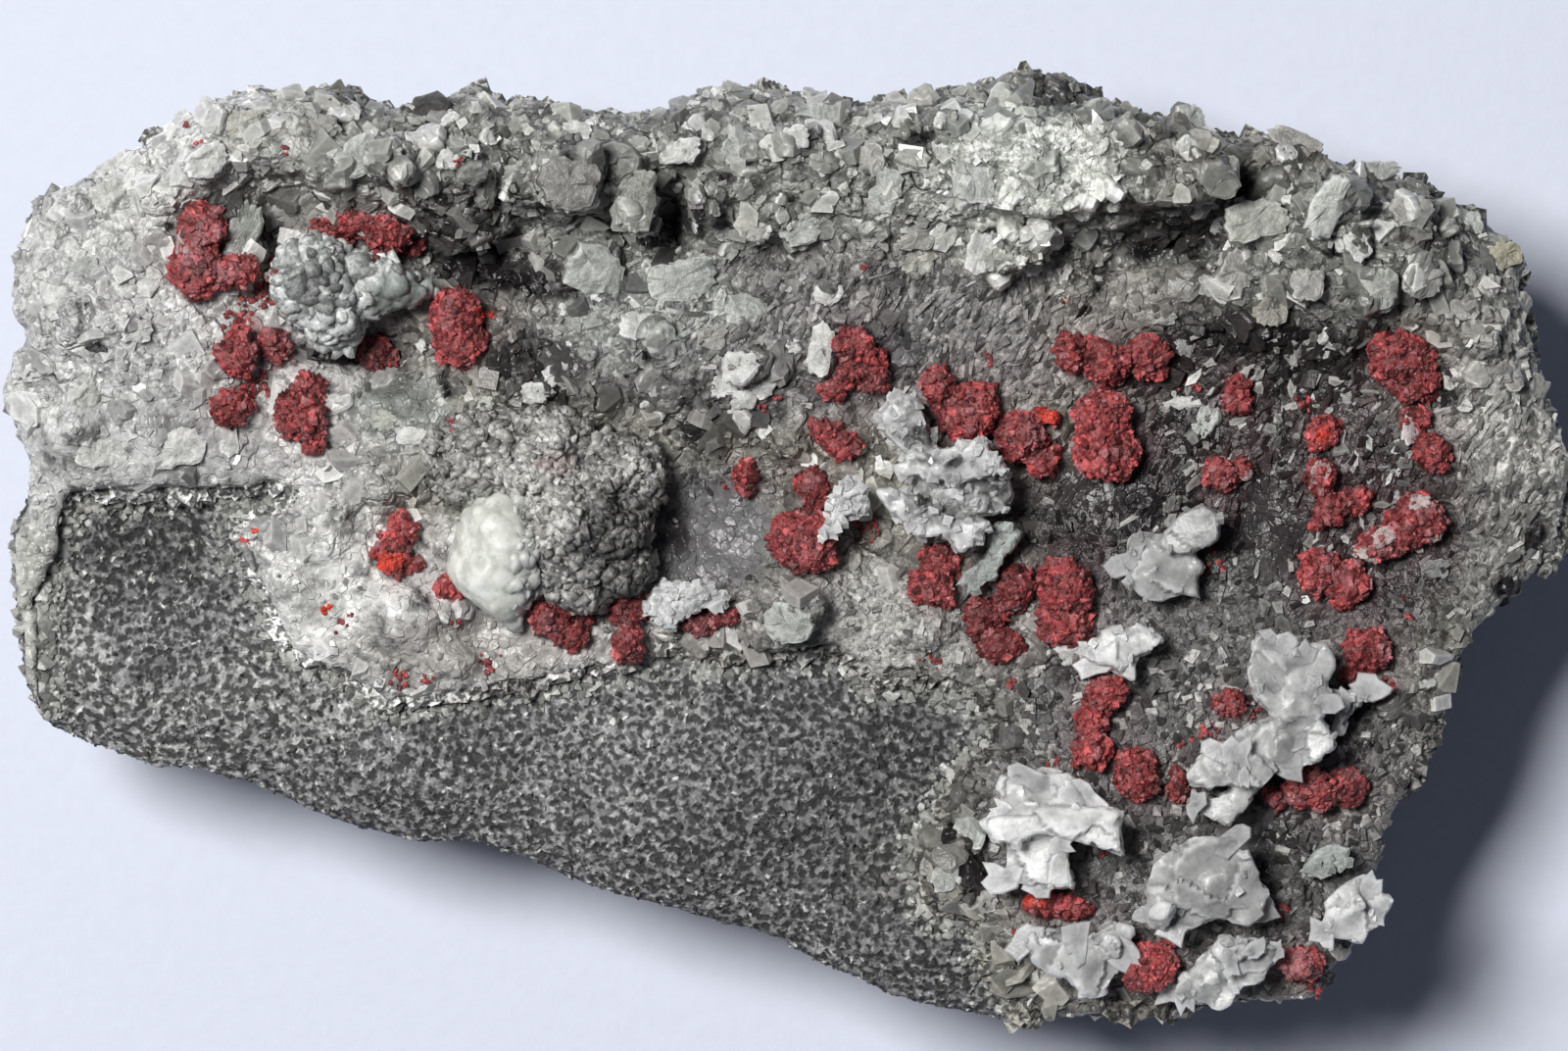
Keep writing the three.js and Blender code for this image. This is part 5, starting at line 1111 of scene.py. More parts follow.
class SPECIMEN_OT_druse(bpy.types.Operator):
    """Makes the bed of the crust, then grows its separate crystals and grains"""

    bl_idname = "specimen.druse"
    bl_label = "Druse"

    def execute(self, context):
        settings = context.scene.specimen.druse
        rng = np.random.default_rng(11)
        finish = druse_finish()
        values = self.shape_bed(settings)
        points, faces = Growth.skins["druse"]
        places = [self.grow_glass(points, faces), self.grow_chunks(settings, finish, points, faces, rng)]
        values["tint"] = values["tint"] * self.crevices(points, np.concatenate(places))[:, None]
        build("druse_bed", points, faces, druse_finish(True), ["druse_crust"], values, True)
        self.grow_crystals(settings, finish, points, faces, rng)
        self.grow_grains(settings, finish, points, faces, rng)
        self.grow_plates(finish, points, faces)
        self.fray_edge(finish)
        return {"FINISHED"}

    def crevices(self, points, places):
        """How light each point of the bed is painted: painted shade close round the crystals that stand on
        it, reaching further to their lower right, away from the window.
        """
        tree = KDTree(len(places))
        for index, (x, y, _) in enumerate(places):
            tree.insert((x, y, 0), index)
        tree.balance()
        near = np.full(len(points), 9.0)
        for index, (x, y, z) in enumerate(points):
            if z > STONE_TOP + 0.3:
                found = tree.find_n((x - 0.15, y + 0.2, 0), 3)
                near[index] = min(away / places[which, 2] for _, which, away in found)
        return 1 - (0.55 - 0.35 * calmness(points)) * (1 - np.clip((near - 0.9) / 0.6, 0, 1))

    def shape_bed(self, settings):
        """The bed: domes and creases on the solid's own form."""
        size, relief = settings.crystal / MM, settings.relief / MM
        points, faces = remesh(*solid("druse_crust"), 0.52)
        out = normals(points, faces)
        rise = points[:, 2] - STONE_TOP
        top = (out[:, 2] > -0.2) & (rise > 0.5)
        points, faces = refine_where(points, faces, top[faces].any(axis=1), 0.42)
        out = normals(points, faces)
        rise = points[:, 2] - STONE_TOP
        top = ramp(-0.3, 0.1, out[:, 2]) * ramp(0.4, 1.0, rise)
        coarse = coarseness(points) * (1 - 0.55 * creaminess(points)) * (1 - 0.35 * calmness(points))
        nearest, following, own, _ = cells(points, size, 51)
        dome = np.sqrt(np.clip(1 - (nearest / 0.95) ** 2, 0, 1)) * (0.4 + 0.9 * own)
        fine_near, fine_next, fine_own, _ = cells(points, size * 0.42, 61)
        fine_dome = np.sqrt(np.clip(1 - (fine_near / 0.95) ** 2, 0, 1)) * (0.4 + 0.9 * fine_own)
        glassy = glassiness(points)
        height = relief * coarse * (dome - 0.5) + relief * 0.3 * (1 - glassy) * (fine_dome - 0.5)
        height += 0.25 * fractal(points, 3, 71) + 0.1 * glassy * fractal(points, 1.2, 73)
        height[rise < 0.6] *= 0.3
        points = points + out * (height * (0.3 + 0.7 * top))[:, None]
        points[:, 2] -= 0.45 * (1 - ramp(0.2, 0.9, points[:, 2] - STONE_TOP))
        # Painted shade in the tint: darker in the creases between the domes and where the bed lies sunk below
        # the ground round it.
        crease = ramp(0.0, 0.16, following - nearest) * coarse + (1 - coarse)
        fine_crease = np.maximum(ramp(0.0, 0.2, fine_next - fine_near), glassy)
        deep = ramp(0.05, 1.6, sunk_depth(points)) * top
        light = (0.66 + 0.41 * crease) * (0.78 + 0.3 * fine_crease) * (1 - 0.5 * deep)
        light = light * (0.84 + 0.3 * own * coarse + 0.34 * fine_own * (1 - coarse))
        tint = crust_tint(points) * light[:, None]
        # Inner is smaller towards the creases, where the finish paints a glow at the crystals' edges.
        inner = 0.3 + 0.3 * ramp(0.25, 0.5, following - nearest) * coarse
        Growth.skins["druse"] = (points, faces)
        plain = 1 - 0.7 * creaminess(points)
        return {"tint": tint, "inner": inner, "coarse": coarse * plain,
                "streak": streakiness(points) * (1 - glassy),
                "rough": (1 - 0.55 * coarse) * (1 - 0.75 * glassy) * plain}

    def grow_crystals(self, settings, finish, points, faces, rng):
        """Crystals with flat faces and pale edges, set close together like paving."""
        def density(spots):
            return (0.12 + coarseness(spots)) * (1 - glassiness(spots)) * (1 - 0.75 * creaminess(spots))
        spots, out = strewn(points, faces, settings.crystals, density, rng, 0.64)
        size = 0.5 * settings.crystal / MM * (0.34 + 1.2 * rng.uniform(size=len(spots)) ** 4.5)
        size *= 0.6 + 0.4 * coarseness(spots)
        sizes = size[:, None] * (1.0, 0.85, 0.6) * rng.uniform(0.8, 1.25, (len(spots), 3))
        grains = [faceted(300 + kind, 5, 0.62, 0.95) for kind in range(18)]
        sunk = spots - out * 0.32 * size[:, None]
        made, made_faces, inner, spot = planted(grains, sunk, out, sizes, rng, 0.5)
        shade = rng.choice((0.42, 0.8, 1.08, 1.5), len(spots), p=(0.2, 0.28, 0.3, 0.22))
        shade = 1 + (shade - 1) * (1 - 0.75 * calmness(spots))
        tint = crust_tint(spots, 0.4) * (shade * rng.uniform(0.92, 1.08, len(spots)))[:, None]
        tint = whitened(tint, spots, 0.14, rng)
        values = {"tint": tint[spot], "inner": inner, "rough": 0.35}
        build("druse_crystals", made, made_faces, finish, [], values)

    def grow_chunks(self, settings, finish, points, faces, rng):
        """Broken crystals with jagged outlines on the coarse crust.  Gives their places and radii."""
        spots, out = strewn(points, faces, 1500,
                            lambda p: 0.35 * coarseness(p) + within(p, BROKEN_AREAS, 0.3, 1.5, 35), rng, 1.3)
        keep = rng.uniform(size=len(spots)) > 0.35 + 0.6 * creaminess(spots)
        spots, out = spots[keep], out[keep]
        size = 0.5 * settings.crystal / MM * (0.7 + 1.4 * rng.uniform(size=(len(spots), 1)) ** 3)
        sizes = size * rng.uniform(0.75, 1.3, (len(spots), 3)) * (1.1, 0.85, 0.75)
        kinds = [chunk(320 + kind, 20) for kind in range(20)]
        made, made_faces, inner, spot = planted(kinds, spots - out * 0.15 * size, out, sizes, rng, 0.4)
        shade = rng.choice((0.72, 0.98, 1.25), len(spots), p=(0.34, 0.4, 0.26))
        tint = whitened(crust_tint(spots, 0.3) * shade[:, None], spots, 0.2, rng)
        tint = tint[spot] * rim_light(made, inner, spot, spots, out, sizes)[:, None]
        values = {"tint": tint, "inner": 0.3 + 0.2 * inner, "rough": 0.4}
        build("druse_chunks", made, made_faces, finish, [], values)
        return np.column_stack([spots[:, :2], sizes[:, :2].mean(axis=1)])

    def grow_glass(self, points, faces):
        """The larger single crystals, clear or milky.  Gives their places and radii."""
        rng = np.random.default_rng(13)
        ground = BVHTree.FromPolygons(points.tolist(), faces.tolist())
        plant_singles("single_crystals", SINGLE_CRYSTALS, ground, rng, 0.05)
        return np.array([(row[0], row[1], 0.5 * (row[2] + row[3])) for row in SINGLE_CRYSTALS])

    def grow_plates(self, finish, points, faces):
        """Thin angular crystals with pale outlines that stick out of the dark field."""
        rng = np.random.default_rng(17)
        spots, out = strewn(points, faces, 1100,
                            lambda p: within(p, PLATE_AREAS, 0.3, 1, 49) * (1 - glassiness(p)), rng, 0.8)
        keep = rng.uniform(size=len(spots)) < 0.5
        spots, out = spots[keep], out[keep]
        kinds = [ragged_plate(560 + kind, 6 + kind % 3, 0.2) for kind in range(14)]
        sizes = rng.uniform(0.28, 0.7, (len(spots), 1)) * rng.uniform(0.6, 1.2, (len(spots), 3))
        sizes = sizes * (1.2, 0.8, 0.8)
        made, made_faces, inner, spot = planted(kinds, spots + out * 0.08, out, sizes, rng, 0.45)
        tint = rgb(158, 157, 153) * rng.choice((0.4, 0.8, 1.35), (len(spots), 1), p=(0.4, 0.38, 0.22))
        tint = tint[spot] * (1.3 - 0.75 * inner)[:, None]
        values = {"tint": tint, "inner": 0.45, "rough": 0.3}
        build("field_plates", made, made_faces, finish, [], values)

    def fray_edge(self, finish):
        """Crystals of the crust strewn on the sandstone next to it, so that the crust fades out."""
        rng = np.random.default_rng(19)
        crust = BVHTree.FromPolygons(*(rows.tolist() for rows in solid("druse_crust")))
        points, faces = Growth.skins["sandstone"]

        def density(spots):
            near = np.array([crust.find_nearest(Vector(spot), 2.4)[3] or 9.0 for spot in spots])
            bare = in_open_air(spots + (0, 0, 0.1), crust)
            return np.clip(1.3 - 0.6 * near, 0, 1) * (spots[:, 2] > 10) * bare
        spots, out = strewn(points, faces, 2600, density, rng, 0.36)
        grains = [spike(740 + kind) for kind in range(12)]
        near = np.array([crust.find_nearest(Vector(spot))[3] for spot in spots])[:, None]
        size = rng.uniform(0.14, 0.5, (len(spots), 1)) * rng.uniform(0.6, 1.2, (len(spots), 3))
        size = size * np.clip(1.7 - 0.6 * near, 0.7, 1.7)
        made, made_faces, inner, spot = planted(grains, spots, out, size, rng)
        tint = rgb(178, 178, 173) * rng.choice((0.45, 0.8, 1.15), (len(spots), 1), p=(0.3, 0.4, 0.3))
        values = {"tint": tint[spot], "inner": inner, "rough": 0.5}
        build("crust_edge_grains", made, made_faces, finish, [], values)

    def grow_grains(self, settings, finish, points, faces, rng):
        """Small sugary grains that fill the gaps and rough up the fine fields."""
        def corner(spots):
            return within(spots, ((24, -14, 12, 9),), 0.3)

        def density(spots):
            return (1.2 - coarseness(spots)) * (1 - glassiness(spots)) * (1 + corner(spots))
        spots, out = strewn(points, faces, settings.grains, density, rng, 0.42)
        wander = 2.5 - 2.05 * streakiness(spots)[:, None]
        streak = np.tile((0.5, 0.78, 0.1), (len(spots), 1)) + wander * unit_vectors(len(spots), rng)
        length = 1 + rng.uniform(0, 1.8, len(spots)) * streakiness(spots)
        size = rng.uniform(0.11, 0.27, (len(spots), 1)) * np.stack(
            [length, np.full(len(spots), 0.75), rng.uniform(0.5, 1, len(spots))], 1)
        size = size * (1 + corner(spots) * rng.uniform(0, 0.9, len(spots)))[:, None]
        grains = [sliver(700 + kind) for kind in range(16)]
        made, made_faces, inner, spot = planted(grains, spots, out, size, rng, 0.5, streak)
        bright = rng.choice((0.4, 0.8, 1.05, 1.6), (len(spots), 1), p=(0.25, 0.27, 0.26, 0.22))
        bright = 1 + (bright - 1) * (1 - 0.6 * creaminess(spots) - 0.3 * calmness(spots))[:, None]
        field = within(spots, ((28, 5, 12, 8), (24, -12, 12, 8)), 0.3)[:, None]
        plate = (rng.uniform(size=(len(spots), 1)) > 0.88) * field
        tint = crust_tint(spots, 0.4) * bright
        tint = tint + plate * (rgb(206, 203, 198) - tint)
        values = {"tint": tint[spot], "inner": inner, "rough": 0.7}
        build("druse_grains", made, made_faces, finish, [], values)


class SPECIMEN_OT_lumps(bpy.types.Operator):
    """Makes the grey mound, the milky lump and the cauliflower lump"""

    bl_idname = "specimen.lumps"
    bl_label = "Lumps"

    def execute(self, context):
        rng = np.random.default_rng(21)
        finish = druse_finish()
        looks = {
            "grey_mound": (1.2, 0.6, rgb(176, 175, 171), "druse"),
            "milky_lump": (2.4, 0.3, rgb(246, 249, 240), "milky_crystal"),
            "cauliflower_lump": (1.1, 0.5, rgb(204, 207, 205), "druse"),
        }
        for seed, (name, (size, relief, colour, slot_name)) in enumerate(looks.items()):
            points, faces = remesh(*solid(name), 0.24)
            out = normals(points, faces)
            nearest, following, own, _ = cells(points, size, 80 + seed)
            fine_near, fine_next, fine_own, _ = cells(points, size * 0.35, 90 + seed)
            dome = np.sqrt(np.clip(1 - (nearest / 0.95) ** 2, 0, 1)) * (0.5 + 0.8 * own)
            fine_dome = np.sqrt(np.clip(1 - (fine_near / 0.95) ** 2, 0, 1)) * (0.5 + 0.8 * fine_own)
            under = points[:, 2] < points[:, 2].min() + 0.4
            rough = relief * (dome - 0.4) + 0.5 * relief * (fine_dome - 0.4)
            rough += 0.4 * fractal(points, 2, 85 + seed)
            points = points + out * rough[:, None]
            points[under, 2] -= 0.6
            crease = ramp(0.0, 0.2, following - nearest)
            fine_crease = ramp(0.0, 0.22, fine_next - fine_near)
            hollow = ramp(0.0, 0.06, hollowness(points, faces, 4))
            # Painted shade in the tint: darker in the creases between the domes and in the hollows.
            light = (0.42 + 0.66 * crease) * (0.7 + 0.38 * fine_crease) * (1 - 0.55 * hollow)
            light = light * (0.82 + 0.36 * own)
            if name == "milky_lump":
                light = 0.88 + 0.14 * light
            tint = colour * light[:, None]
            tint = self.own_tint(name, points, tint)
            Growth.skins[name] = (points, faces)
            material = milky_finish() if slot_name == "milky_crystal" else finish
            # Inner is smaller between the domes, where the finish paints a glow.
            values = {"tint": tint, "inner": 0.2 + 0.3 * dome, "rough": 0.5}
            build(name + "_skin", points, faces, material, [name], values, True)
            self.sprinkle(name, points, faces, colour, slot_name, material, rng)
        return {"FINISHED"}

    def own_tint(self, name, points, tint):
        """The tint with the pale and dark places of the named lump."""
        if name == "grey_mound":
            return self.mound_tint(points, tint)
        return self.cauliflower_tint(points, tint) if name == "cauliflower_lump" else tint

    def mound_tint(self, points, tint):
        """The mound is pale at its left and on its right block, with painted shade at its lower right, the
        side away from the window.
        """
        pale = within(points, ((-14.6, 2.8, 3.2, 3.6), (-8.4, 4.2, 1.5, 1.5), (-13, 6.2, 1.4, 0.4)), 0.4, 0.5)
        dark = within(points, ((-9.6, 0.6, 2, 2.6), (-9, -2.4, 1.6, 1.6), (-7.2, 2.2, 1, 1.2)), 0.4, 0.5)
        rosy = within(points, ((-13, 4.9, 1.2, 0.7),), 0.4, 0.4)[:, None]
        tint = tint * (1 + 0.4 * pale - 0.6 * dark)[:, None]
        return tint + 0.35 * rosy * (rgb(150, 110, 112) - tint)

    def cauliflower_tint(self, points, tint):
        """Its left end is white with a dark upper middle, its right end smooth and grey."""
        dark = within(points, ((-26.6, 15.2, 2, 1.5),), 0.5, 0.5) * ramp(-0.25, 0.25, noise(points, 0.8, 53))
        pale = within(points, ((-27.2, 12.2, 2.4, 1.5), (-25.4, 17.4, 1.2, 0.7), (-29, 14, 0.6, 2)), 0.4, 0.5)
        tint = tint * (1 - 0.6 * dark + 0.25 * pale)[:, None]
        smooth_end = self.smooth_end(points)[:, None]
        return tint + smooth_end * (rgb(160, 167, 162) * (1 + 0.25 * noise(points, 1.4, 54))[:, None] - tint)

    def smooth_end(self, points):
        """1 on the smooth right end of the cauliflower lump."""
        return within(points, ((-22.1, 14.3, 1.7, 1.2),), 0.3, 0.4)

    def sprinkle(self, name, points, faces, colour, slot_name, material, rng):
        """Knobs and small crystals on a lump."""
        fine = name == "grey_mound"
        spots, out = strewn(points, faces, 2600 if fine else 1100, everywhere, rng,
                            0.4 if fine else 0.7)
        if name == "milky_lump":
            spots, out = spots[spots[:, 0] > -15.4], out[spots[:, 0] > -15.4]
        if name == "cauliflower_lump":
            keep = self.smooth_end(spots) < 0.4
            spots, out = spots[keep], out[keep]
        knobs = [sliver(800 + kind) if fine else pebble(800 + kind, 4, 0.75) for kind in range(20)]
        largest = 0.4 if fine else 0.72
        sizes = rng.uniform(0.16, largest, (len(spots), 1)) * rng.uniform(0.6, 1.35, (len(spots), 3))
        made, made_faces, inner, spot = planted(knobs, spots - out * 0.45 * sizes[:, 2:], out, sizes, rng,
                                                1.0 if fine else 0.6)
        shade = rng.choice((0.6, 0.95, 1.25), (len(spots), 1))
        tint = np.tile(colour, (len(spots), 1)) * (1 if name == "milky_lump" else shade)
        tint = self.own_tint(name, spots, tint)
        # The knobs get painted shade towards their feet.
        rise = ((made - spots[spot]) * out[spot]).sum(axis=1) / sizes[spot, 2]
        tint = tint[spot] * (0.5 + 0.62 * ramp(-0.3, 0.5, rise))[:, None]
        values = {"tint": tint, "inner": inner, "rough": 0.9}
        build(name + "_knobs", made, made_faces, material, [], values, True)


class SPECIMEN_OT_blades(bpy.types.Operator):
    """Makes the clusters of milky blades"""

    bl_idname = "specimen.blades"
    bl_label = "Blades"

    def execute(self, context):
        settings = context.scene.specimen.blades
        milky, glassy = milky_finish(), glassy_finish()
        for seed, name in enumerate(BLADES):
            clear = name in CLEAR_BLADES
            self.make_cluster(settings, glassy if clear else milky, seed, name, clear)
        return {"FINISHED"}

    def make_cluster(self, settings, finish, seed, name, clear):
        """One cluster: its own blades with ragged plates grown over them."""
        rng = np.random.default_rng(600 + seed)
        relief = settings.relief / MM
        points, faces = remesh(*solid(name), 0.23)
        points = evened(points, faces, 1)
        out = normals(points, faces)
        under = points[:, 2] < points[:, 2].min() + 0.3
        crusty = name in CRUSTY_BLADES
        smooth = name == "milky_knot" or clear
        sideways = out * (1, 1, 0) * (cells(points * (1, 1, 0.6), 0.8, 170 + seed)[2] - 0.35)[:, None]
        points = points + (0.4 if crusty else 0.2 if smooth else 0.3) * sideways
        step = stepped(points * (1, 1, 0.5), 1.0 if crusty else 3.2, 180 + seed)
        points[:, 2] += step * (0.6 if crusty else 0.5) * ramp(0.2, 1, out[:, 2])
        ripple = relief * (1.0 if crusty else 0.4)
        points = points + out * (ripple * fractal(points, 0.9, 150 + seed, 2))[:, None]
        points[under, 2] -= 0.6
        base = np.array(settings.glass if clear else settings.milk)
        base = base * (1.22 if name in WHITER_BLADES else 1.0) * BLADE_SHADES.get(name, 1.0)
        # Painted shade in the tint where the skin is hollow; inner is small on its ridges, where the finish
        # paints a glow.
        hollow = hollowness(points, faces, 3)
        cloud = 0.26 * fractal(points, 1.8, 160 + seed)
        cloud += 0.16 * ramp(0.3, 0.6, fractal(points, 3, 165 + seed))
        tint = base * (0.95 + cloud - 0.25 * ramp(0.01, 0.12, hollow))[:, None]
        skin_inner = ramp(-0.07, -0.005, hollow)
        Growth.skins[name] = (points, faces)
        plates = [ragged_plate(640 + kind, 9 + kind % 4, 0.025 + 0.01 * (kind % 4)) for kind in range(14)]
        spots, facing = strewn(points, faces, 500, everywhere, rng, 0.7 if crusty else 1.4, 0.6)
        keep = rng.uniform(size=len(spots)) < (0.0 if smooth else 0.45 if crusty else 0.2)
        keep[0] = True
        spots, facing = spots[keep], facing[keep] * (0.22, 0.22, 1)
        size = rng.uniform(0.5, 1.0, len(spots)) * (0.6 if crusty else 1.4)
        sizes = size[:, None] * (1.1, 1.0, 0.9)
        made, made_faces, inner, spot = planted(plates, spots + facing * 0.02, facing, sizes, rng,
                                                0.35 if crusty else 0.05)
        plate_tint = (base * rng.uniform(0.86, 1.1, (len(spots), 1)))[spot]
        crumbs, crumb_out = strewn(points, faces, 60 if crusty else 6, everywhere, rng, 0.5)
        grains = [faceted(660 + kind, 4, 0.65, 0.95) for kind in range(6)]
        extra, extra_faces, extra_inner, owner = planted(grains, crumbs, crumb_out,
                                                         rng.uniform(0.12, 0.3, len(crumbs)), rng)
        extra_tint = (base * rng.uniform(0.9, 1.15, (len(crumbs), 1)))[owner]
        joined = np.concatenate([points, made, extra])
        joined_faces = np.concatenate([faces, made_faces + len(points),
                                       extra_faces + len(points) + len(made)])
        if name == "white_blades":
            # The hollows among these blades are painted dark, on the plates and the skin, as the shade in
            # them.
            hollows = ((10, 2.5, 2.9, 1.1), (7.7, 6.2, 0.9, 0.8), (9, 4.9, 1.4, 0.3), (12, 3.4, 1, 0.9))
            plate_tint = plate_tint * (1 - 0.75 * within(spots, hollows, 0.4, 0.3)[:, None][spot])
            pits = within(points, hollows, 0.4, 0.3) * (0.45 + 0.55 * ramp(-0.3, 0.3, noise(points, 0.45, 7)))
            tint = tint * (1 - 0.94 * pits[:, None])
        values = {"tint": np.concatenate([tint, plate_tint, extra_tint]),
                  "inner": np.concatenate([skin_inner, inner, extra_inner])}
        soft = np.zeros(len(joined_faces), dtype=bool)
        soft[:len(faces)] = bend(points, faces) > 0.94
        build(name + "_plates", joined, joined_faces, finish, [name], values, soft)


class SPECIMEN_OT_cinnabar(bpy.types.Operator):
    """Makes the clusters of cinnabar and the small red specks"""

    bl_idname = "specimen.cinnabar"
    bl_label = "Cinnabar"

    def execute(self, context):
        settings = context.scene.specimen.cinnabar
        finish = cinnabar_finish()
        rng = np.random.default_rng(31)
        for number, name in enumerate(CINNABARS, start=1):
            self.make_cluster(settings, finish, number, name)
        self.make_specks(settings, finish, rng)
        plant_singles("veil_crystals", VEILS, Growth.ground(), np.random.default_rng(37), 0.1)
        return {"FINISHED"}

    def make_cluster(self, settings, finish, number, name):
        """One cluster: balls rough with small crystals."""
        rng = np.random.default_rng(500 + number)
        grain, relief = settings.grain / MM, settings.relief / MM
        points, faces = remesh(*solid(name), 0.27)
        out = normals(points, faces)
        low = points[:, 2] < points[:, 2].min() + 0.35
        nearest, following, own, _ = cells(points, grain * 1.4, 400 + number)
        height = relief * (1 - 1.7 * nearest) * (0.5 + own) + 0.38 * fractal(points, 1.2, 450 + number)
        points = points + out * height[:, None]
        points[low, 2] -= 0.6
        Growth.skins[name] = (points, faces)
        # Painted shade: the hollows drawn towards the crevice colour.
        deep = ramp(-0.01, 0.08, hollowness(points, faces, 3))
        red = np.array(settings.red) * self.strength(number)
        tint = self.coloured(points, red * (0.6 + 0.3 * own)[:, None], settings, number)
        tint = tint + (0.7 * deep)[:, None] * (np.array(settings.crevice) - tint)
        spots, facing = strewn(points, faces, 800, everywhere, rng, 0.38, -0.1)
        size = rng.choice((0.36, 0.56, 0.86), (len(spots), 1), p=(0.4, 0.4, 0.2)) * grain
        size = size * rng.uniform(0.6, 1.25, (len(spots), 3))
        grains = [spike(700 + kind) for kind in range(10)]
        made, made_faces, _, spot = planted(grains, spots, facing, size, rng, 1.1)
        shade = rng.choice((0.4, 0.68, 0.95, 1.25), (len(spots), 1), p=(0.2, 0.3, 0.3, 0.2))
        # Painted light and shade: crystals on the crests of the lumps lighter, those in the valleys darker.
        shade = shade * (0.6 + 0.75 * ramp(-0.45, 0.45, fractal(spots, 1.2, 450 + number)))[:, None]
        spot_tint = self.coloured(spots, red * shade, settings, number)
        glint = rng.uniform(size=(len(spots), 1)) > 0.88
        spot_tint = spot_tint + 0.5 * glint * (np.array(settings.pink) * 1.2 - spot_tint)
        joined = np.concatenate([points, made])
        joined_faces = np.concatenate([faces, made_faces + len(points)])
        build(name + "_crystals", joined, joined_faces, finish, [name],
              {"tint": np.concatenate([tint, spot_tint[spot]])})

    def strength(self, number):
        """How bright the red of a cluster is; the dark clusters get painted shade."""
        if number in BRIGHT_CLUSTERS:
            return 1.2
        return 0.66 if number in DARK_CLUSTERS else 1.0

    def coloured(self, points, tint, settings, number):
        """The red with its pink and orange areas."""
        pink = ramp(0.05, 0.6, fractal(points, 1.2, 470 + number)) * (0.8 if number in PINK_CLUSTERS else 0.3)
        tint = tint + pink[:, None] * (np.array(settings.pink) - tint)
        orange = within(points, ORANGE_SPOTS, 0.4, 0.4)[:, None]
        return tint + orange * (np.array(settings.orange) - tint)

    def make_specks(self, settings, finish, rng):
        """Specks of red too small to be clusters, each a few crystals."""
        ground = Growth.ground("sandstone", "druse", "grey_mound", "milky_lump", "cauliflower_lump")
        spots, sizes = [], []
        for x, y, half in RED_SPECKS:
            count = max(4, int(34 * half * half))
            away = rng.normal(scale=0.48 * half, size=(count, 2))
            spots.append(away + (x, y))
            sizes.append(rng.uniform(0.1, 0.26, count) * min(1, 0.5 + half))
        spots = seated(np.concatenate(spots), ground)
        sizes = np.concatenate(sizes)
        up = np.tile((0.0, 0.0, 1.0), (len(spots), 1))
        grains = [spike(900 + kind) for kind in range(12)]
        made, made_faces, _, spot = planted(grains, spots + up * 0.05, up, sizes, rng, 1.0)
        tint = np.array(settings.red) * rng.uniform(0.35, 1.25, (len(spots), 1))
        orange = within(spots, ORANGE_SPOTS, 0.3, 0.1)[:, None]
        tint = tint + orange * (np.array(settings.orange) - tint)
        build("red_specks", made, made_faces, finish, [], {"tint": tint[spot]})


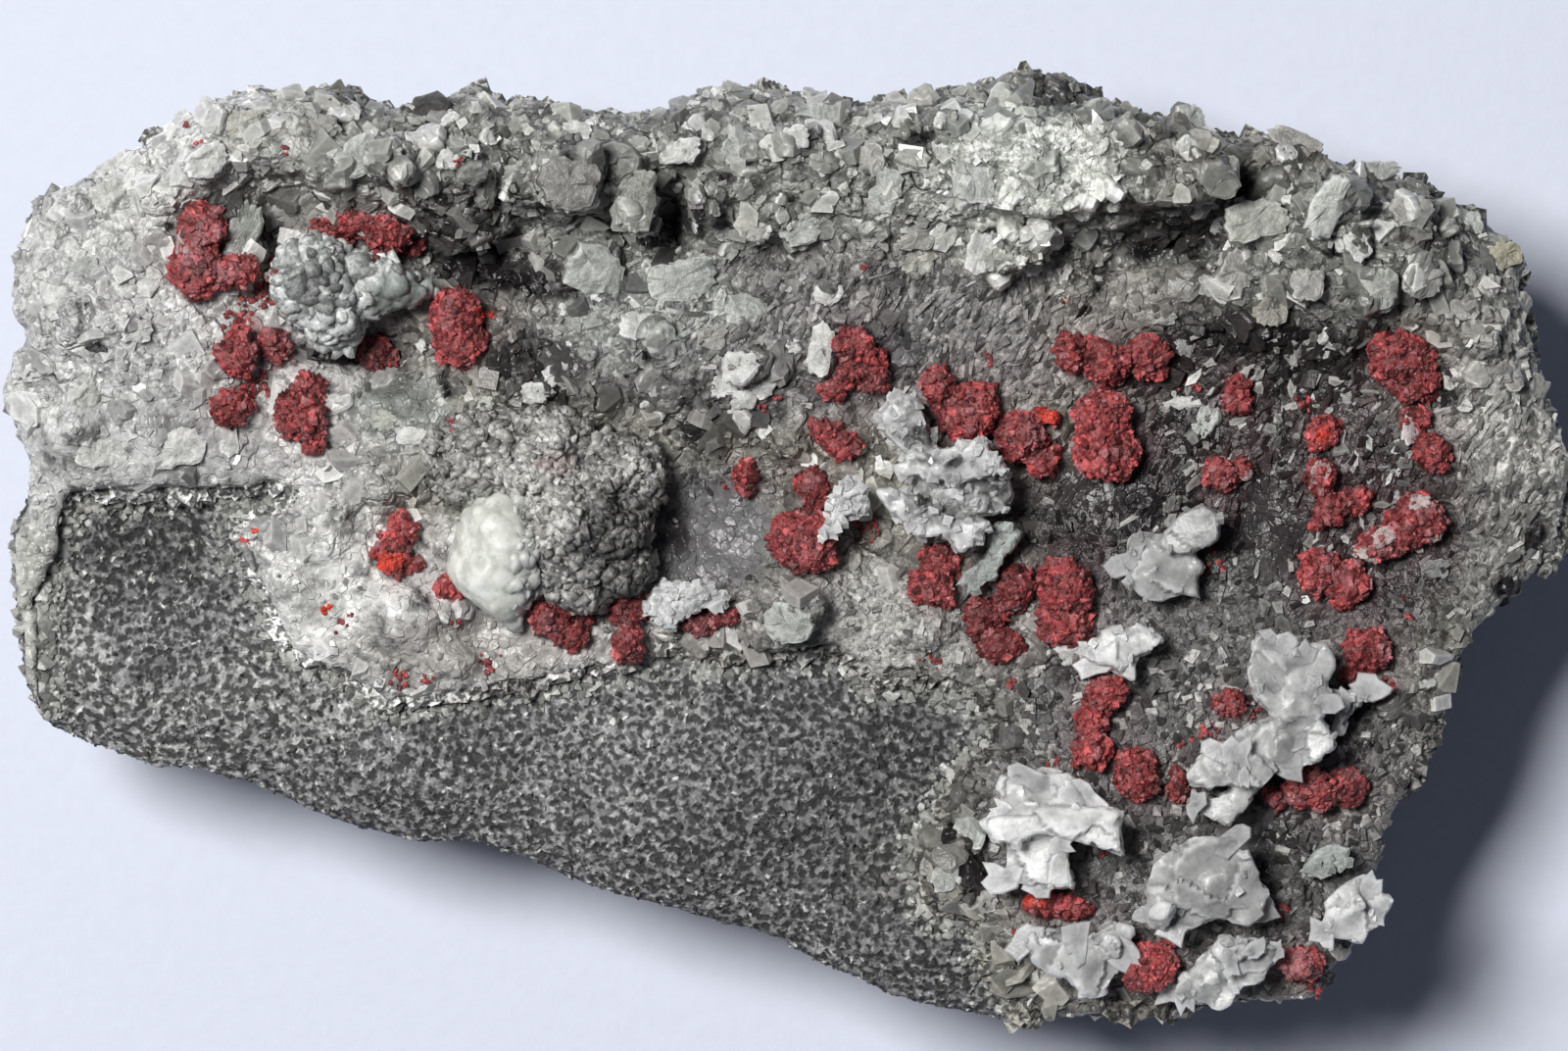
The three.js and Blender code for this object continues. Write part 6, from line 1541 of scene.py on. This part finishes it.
class SPECIMEN_OT_stage(bpy.types.Operator):
    """Makes the floor, the lights and the camera"""

    bl_idname = "specimen.stage"
    bl_label = "Stage"

    def execute(self, context):
        settings = context.scene.specimen.stage
        self.make_floor(settings)
        self.make_lights(settings)
        self.make_camera(settings)
        context.scene.view_settings.view_transform = "Standard"
        return {"FINISHED"}

    def make_floor(self, settings):
        """A wide flat sheet under the specimen."""
        half = 1500.0
        points = np.array([(-half, -half, 0), (half, -half, 0), (half, half, 0), (-half, half, 0)])
        mesh = raw_mesh("floor", points * MM, np.array([(0, 1, 2), (0, 2, 3)]))
        mesh.materials.append(floor_finish(settings.floor_colour))
        floor = bpy.data.objects.new("floor", mesh)
        bpy.context.scene.collection.objects.link(floor)

    def make_lights(self, settings):
        """A large window up to the left, and pale light from all round."""
        data = bpy.data.lights.new("window", "AREA")
        data.shape = "RECTANGLE"
        data.size, data.size_y = (side * MM for side in WINDOW_SIZE)
        data.energy = settings.window
        data.color = (1.0, 0.99, 0.97)
        window = bpy.data.objects.new("window", data)
        window.location = Vector(WINDOW_PLACE) * MM
        window.rotation_euler = (-window.location).to_track_quat("-Z", "Y").to_euler()
        bpy.context.scene.collection.objects.link(window)
        world = bpy.data.worlds.new("sky")
        world.use_nodes = True
        background = world.node_tree.nodes["Background"]
        background.inputs["Color"].default_value = (0.72, 0.8, 1.0, 1.0)
        background.inputs["Strength"].default_value = settings.sky
        bpy.context.scene.world = world

    def make_camera(self, settings):
        """Straight above the specimen, looking down."""
        crust_height = 19 * MM
        data = bpy.data.cameras.new("camera")
        data.sensor_width = 36
        data.lens = 36 * (settings.camera_height - crust_height) / settings.view_width
        data.clip_start = 0.01
        camera = bpy.data.objects.new("camera", data)
        camera.location = (0, VIEW_MIDDLE * MM, settings.camera_height)
        bpy.context.scene.collection.objects.link(camera)
        bpy.context.scene.camera = camera


class SPECIMEN_PT_panel(bpy.types.Panel):
    """Lists the makers of the specimen's pieces"""

    bl_idname = "SPECIMEN_PT_panel"
    bl_label = "Cinnabar on Matrix"
    bl_space_type = "VIEW_3D"
    bl_region_type = "UI"
    bl_category = "Specimen"

    def draw(self, context):
        settings = context.scene.specimen
        for operator, group in zip(OPERATORS, (settings.sandstone, settings.druse, None,
                                               settings.blades, settings.cinnabar, settings.stage)):
            box = self.layout.box()
            box.operator(operator.bl_idname)
            if group is not None:
                for key in group.__annotations__:
                    box.prop(group, key)


OPERATORS = (SPECIMEN_OT_sandstone, SPECIMEN_OT_druse, SPECIMEN_OT_lumps, SPECIMEN_OT_blades,
             SPECIMEN_OT_cinnabar, SPECIMEN_OT_stage)
CLASSES = (SandstoneSettings, DruseSettings, CinnabarSettings, BladeSettings, StageSettings,
           SpecimenSettings, *OPERATORS, SPECIMEN_PT_panel)


def register():
    """Adds the classes and the settings."""
    for kind in CLASSES:
        bpy.utils.register_class(kind)
    bpy.types.Scene.specimen = PointerProperty(type=SpecimenSettings)


def unregister():
    """Takes them away again."""
    del bpy.types.Scene.specimen
    for kind in reversed(CLASSES):
        bpy.utils.unregister_class(kind)


def main():
    """Makes everything."""
    register()
    bpy.ops.specimen.sandstone()
    bpy.ops.specimen.druse()
    bpy.ops.specimen.lumps()
    bpy.ops.specimen.blades()
    bpy.ops.specimen.cinnabar()
    bpy.ops.specimen.stage()


if __name__ == "__main__":
    main()
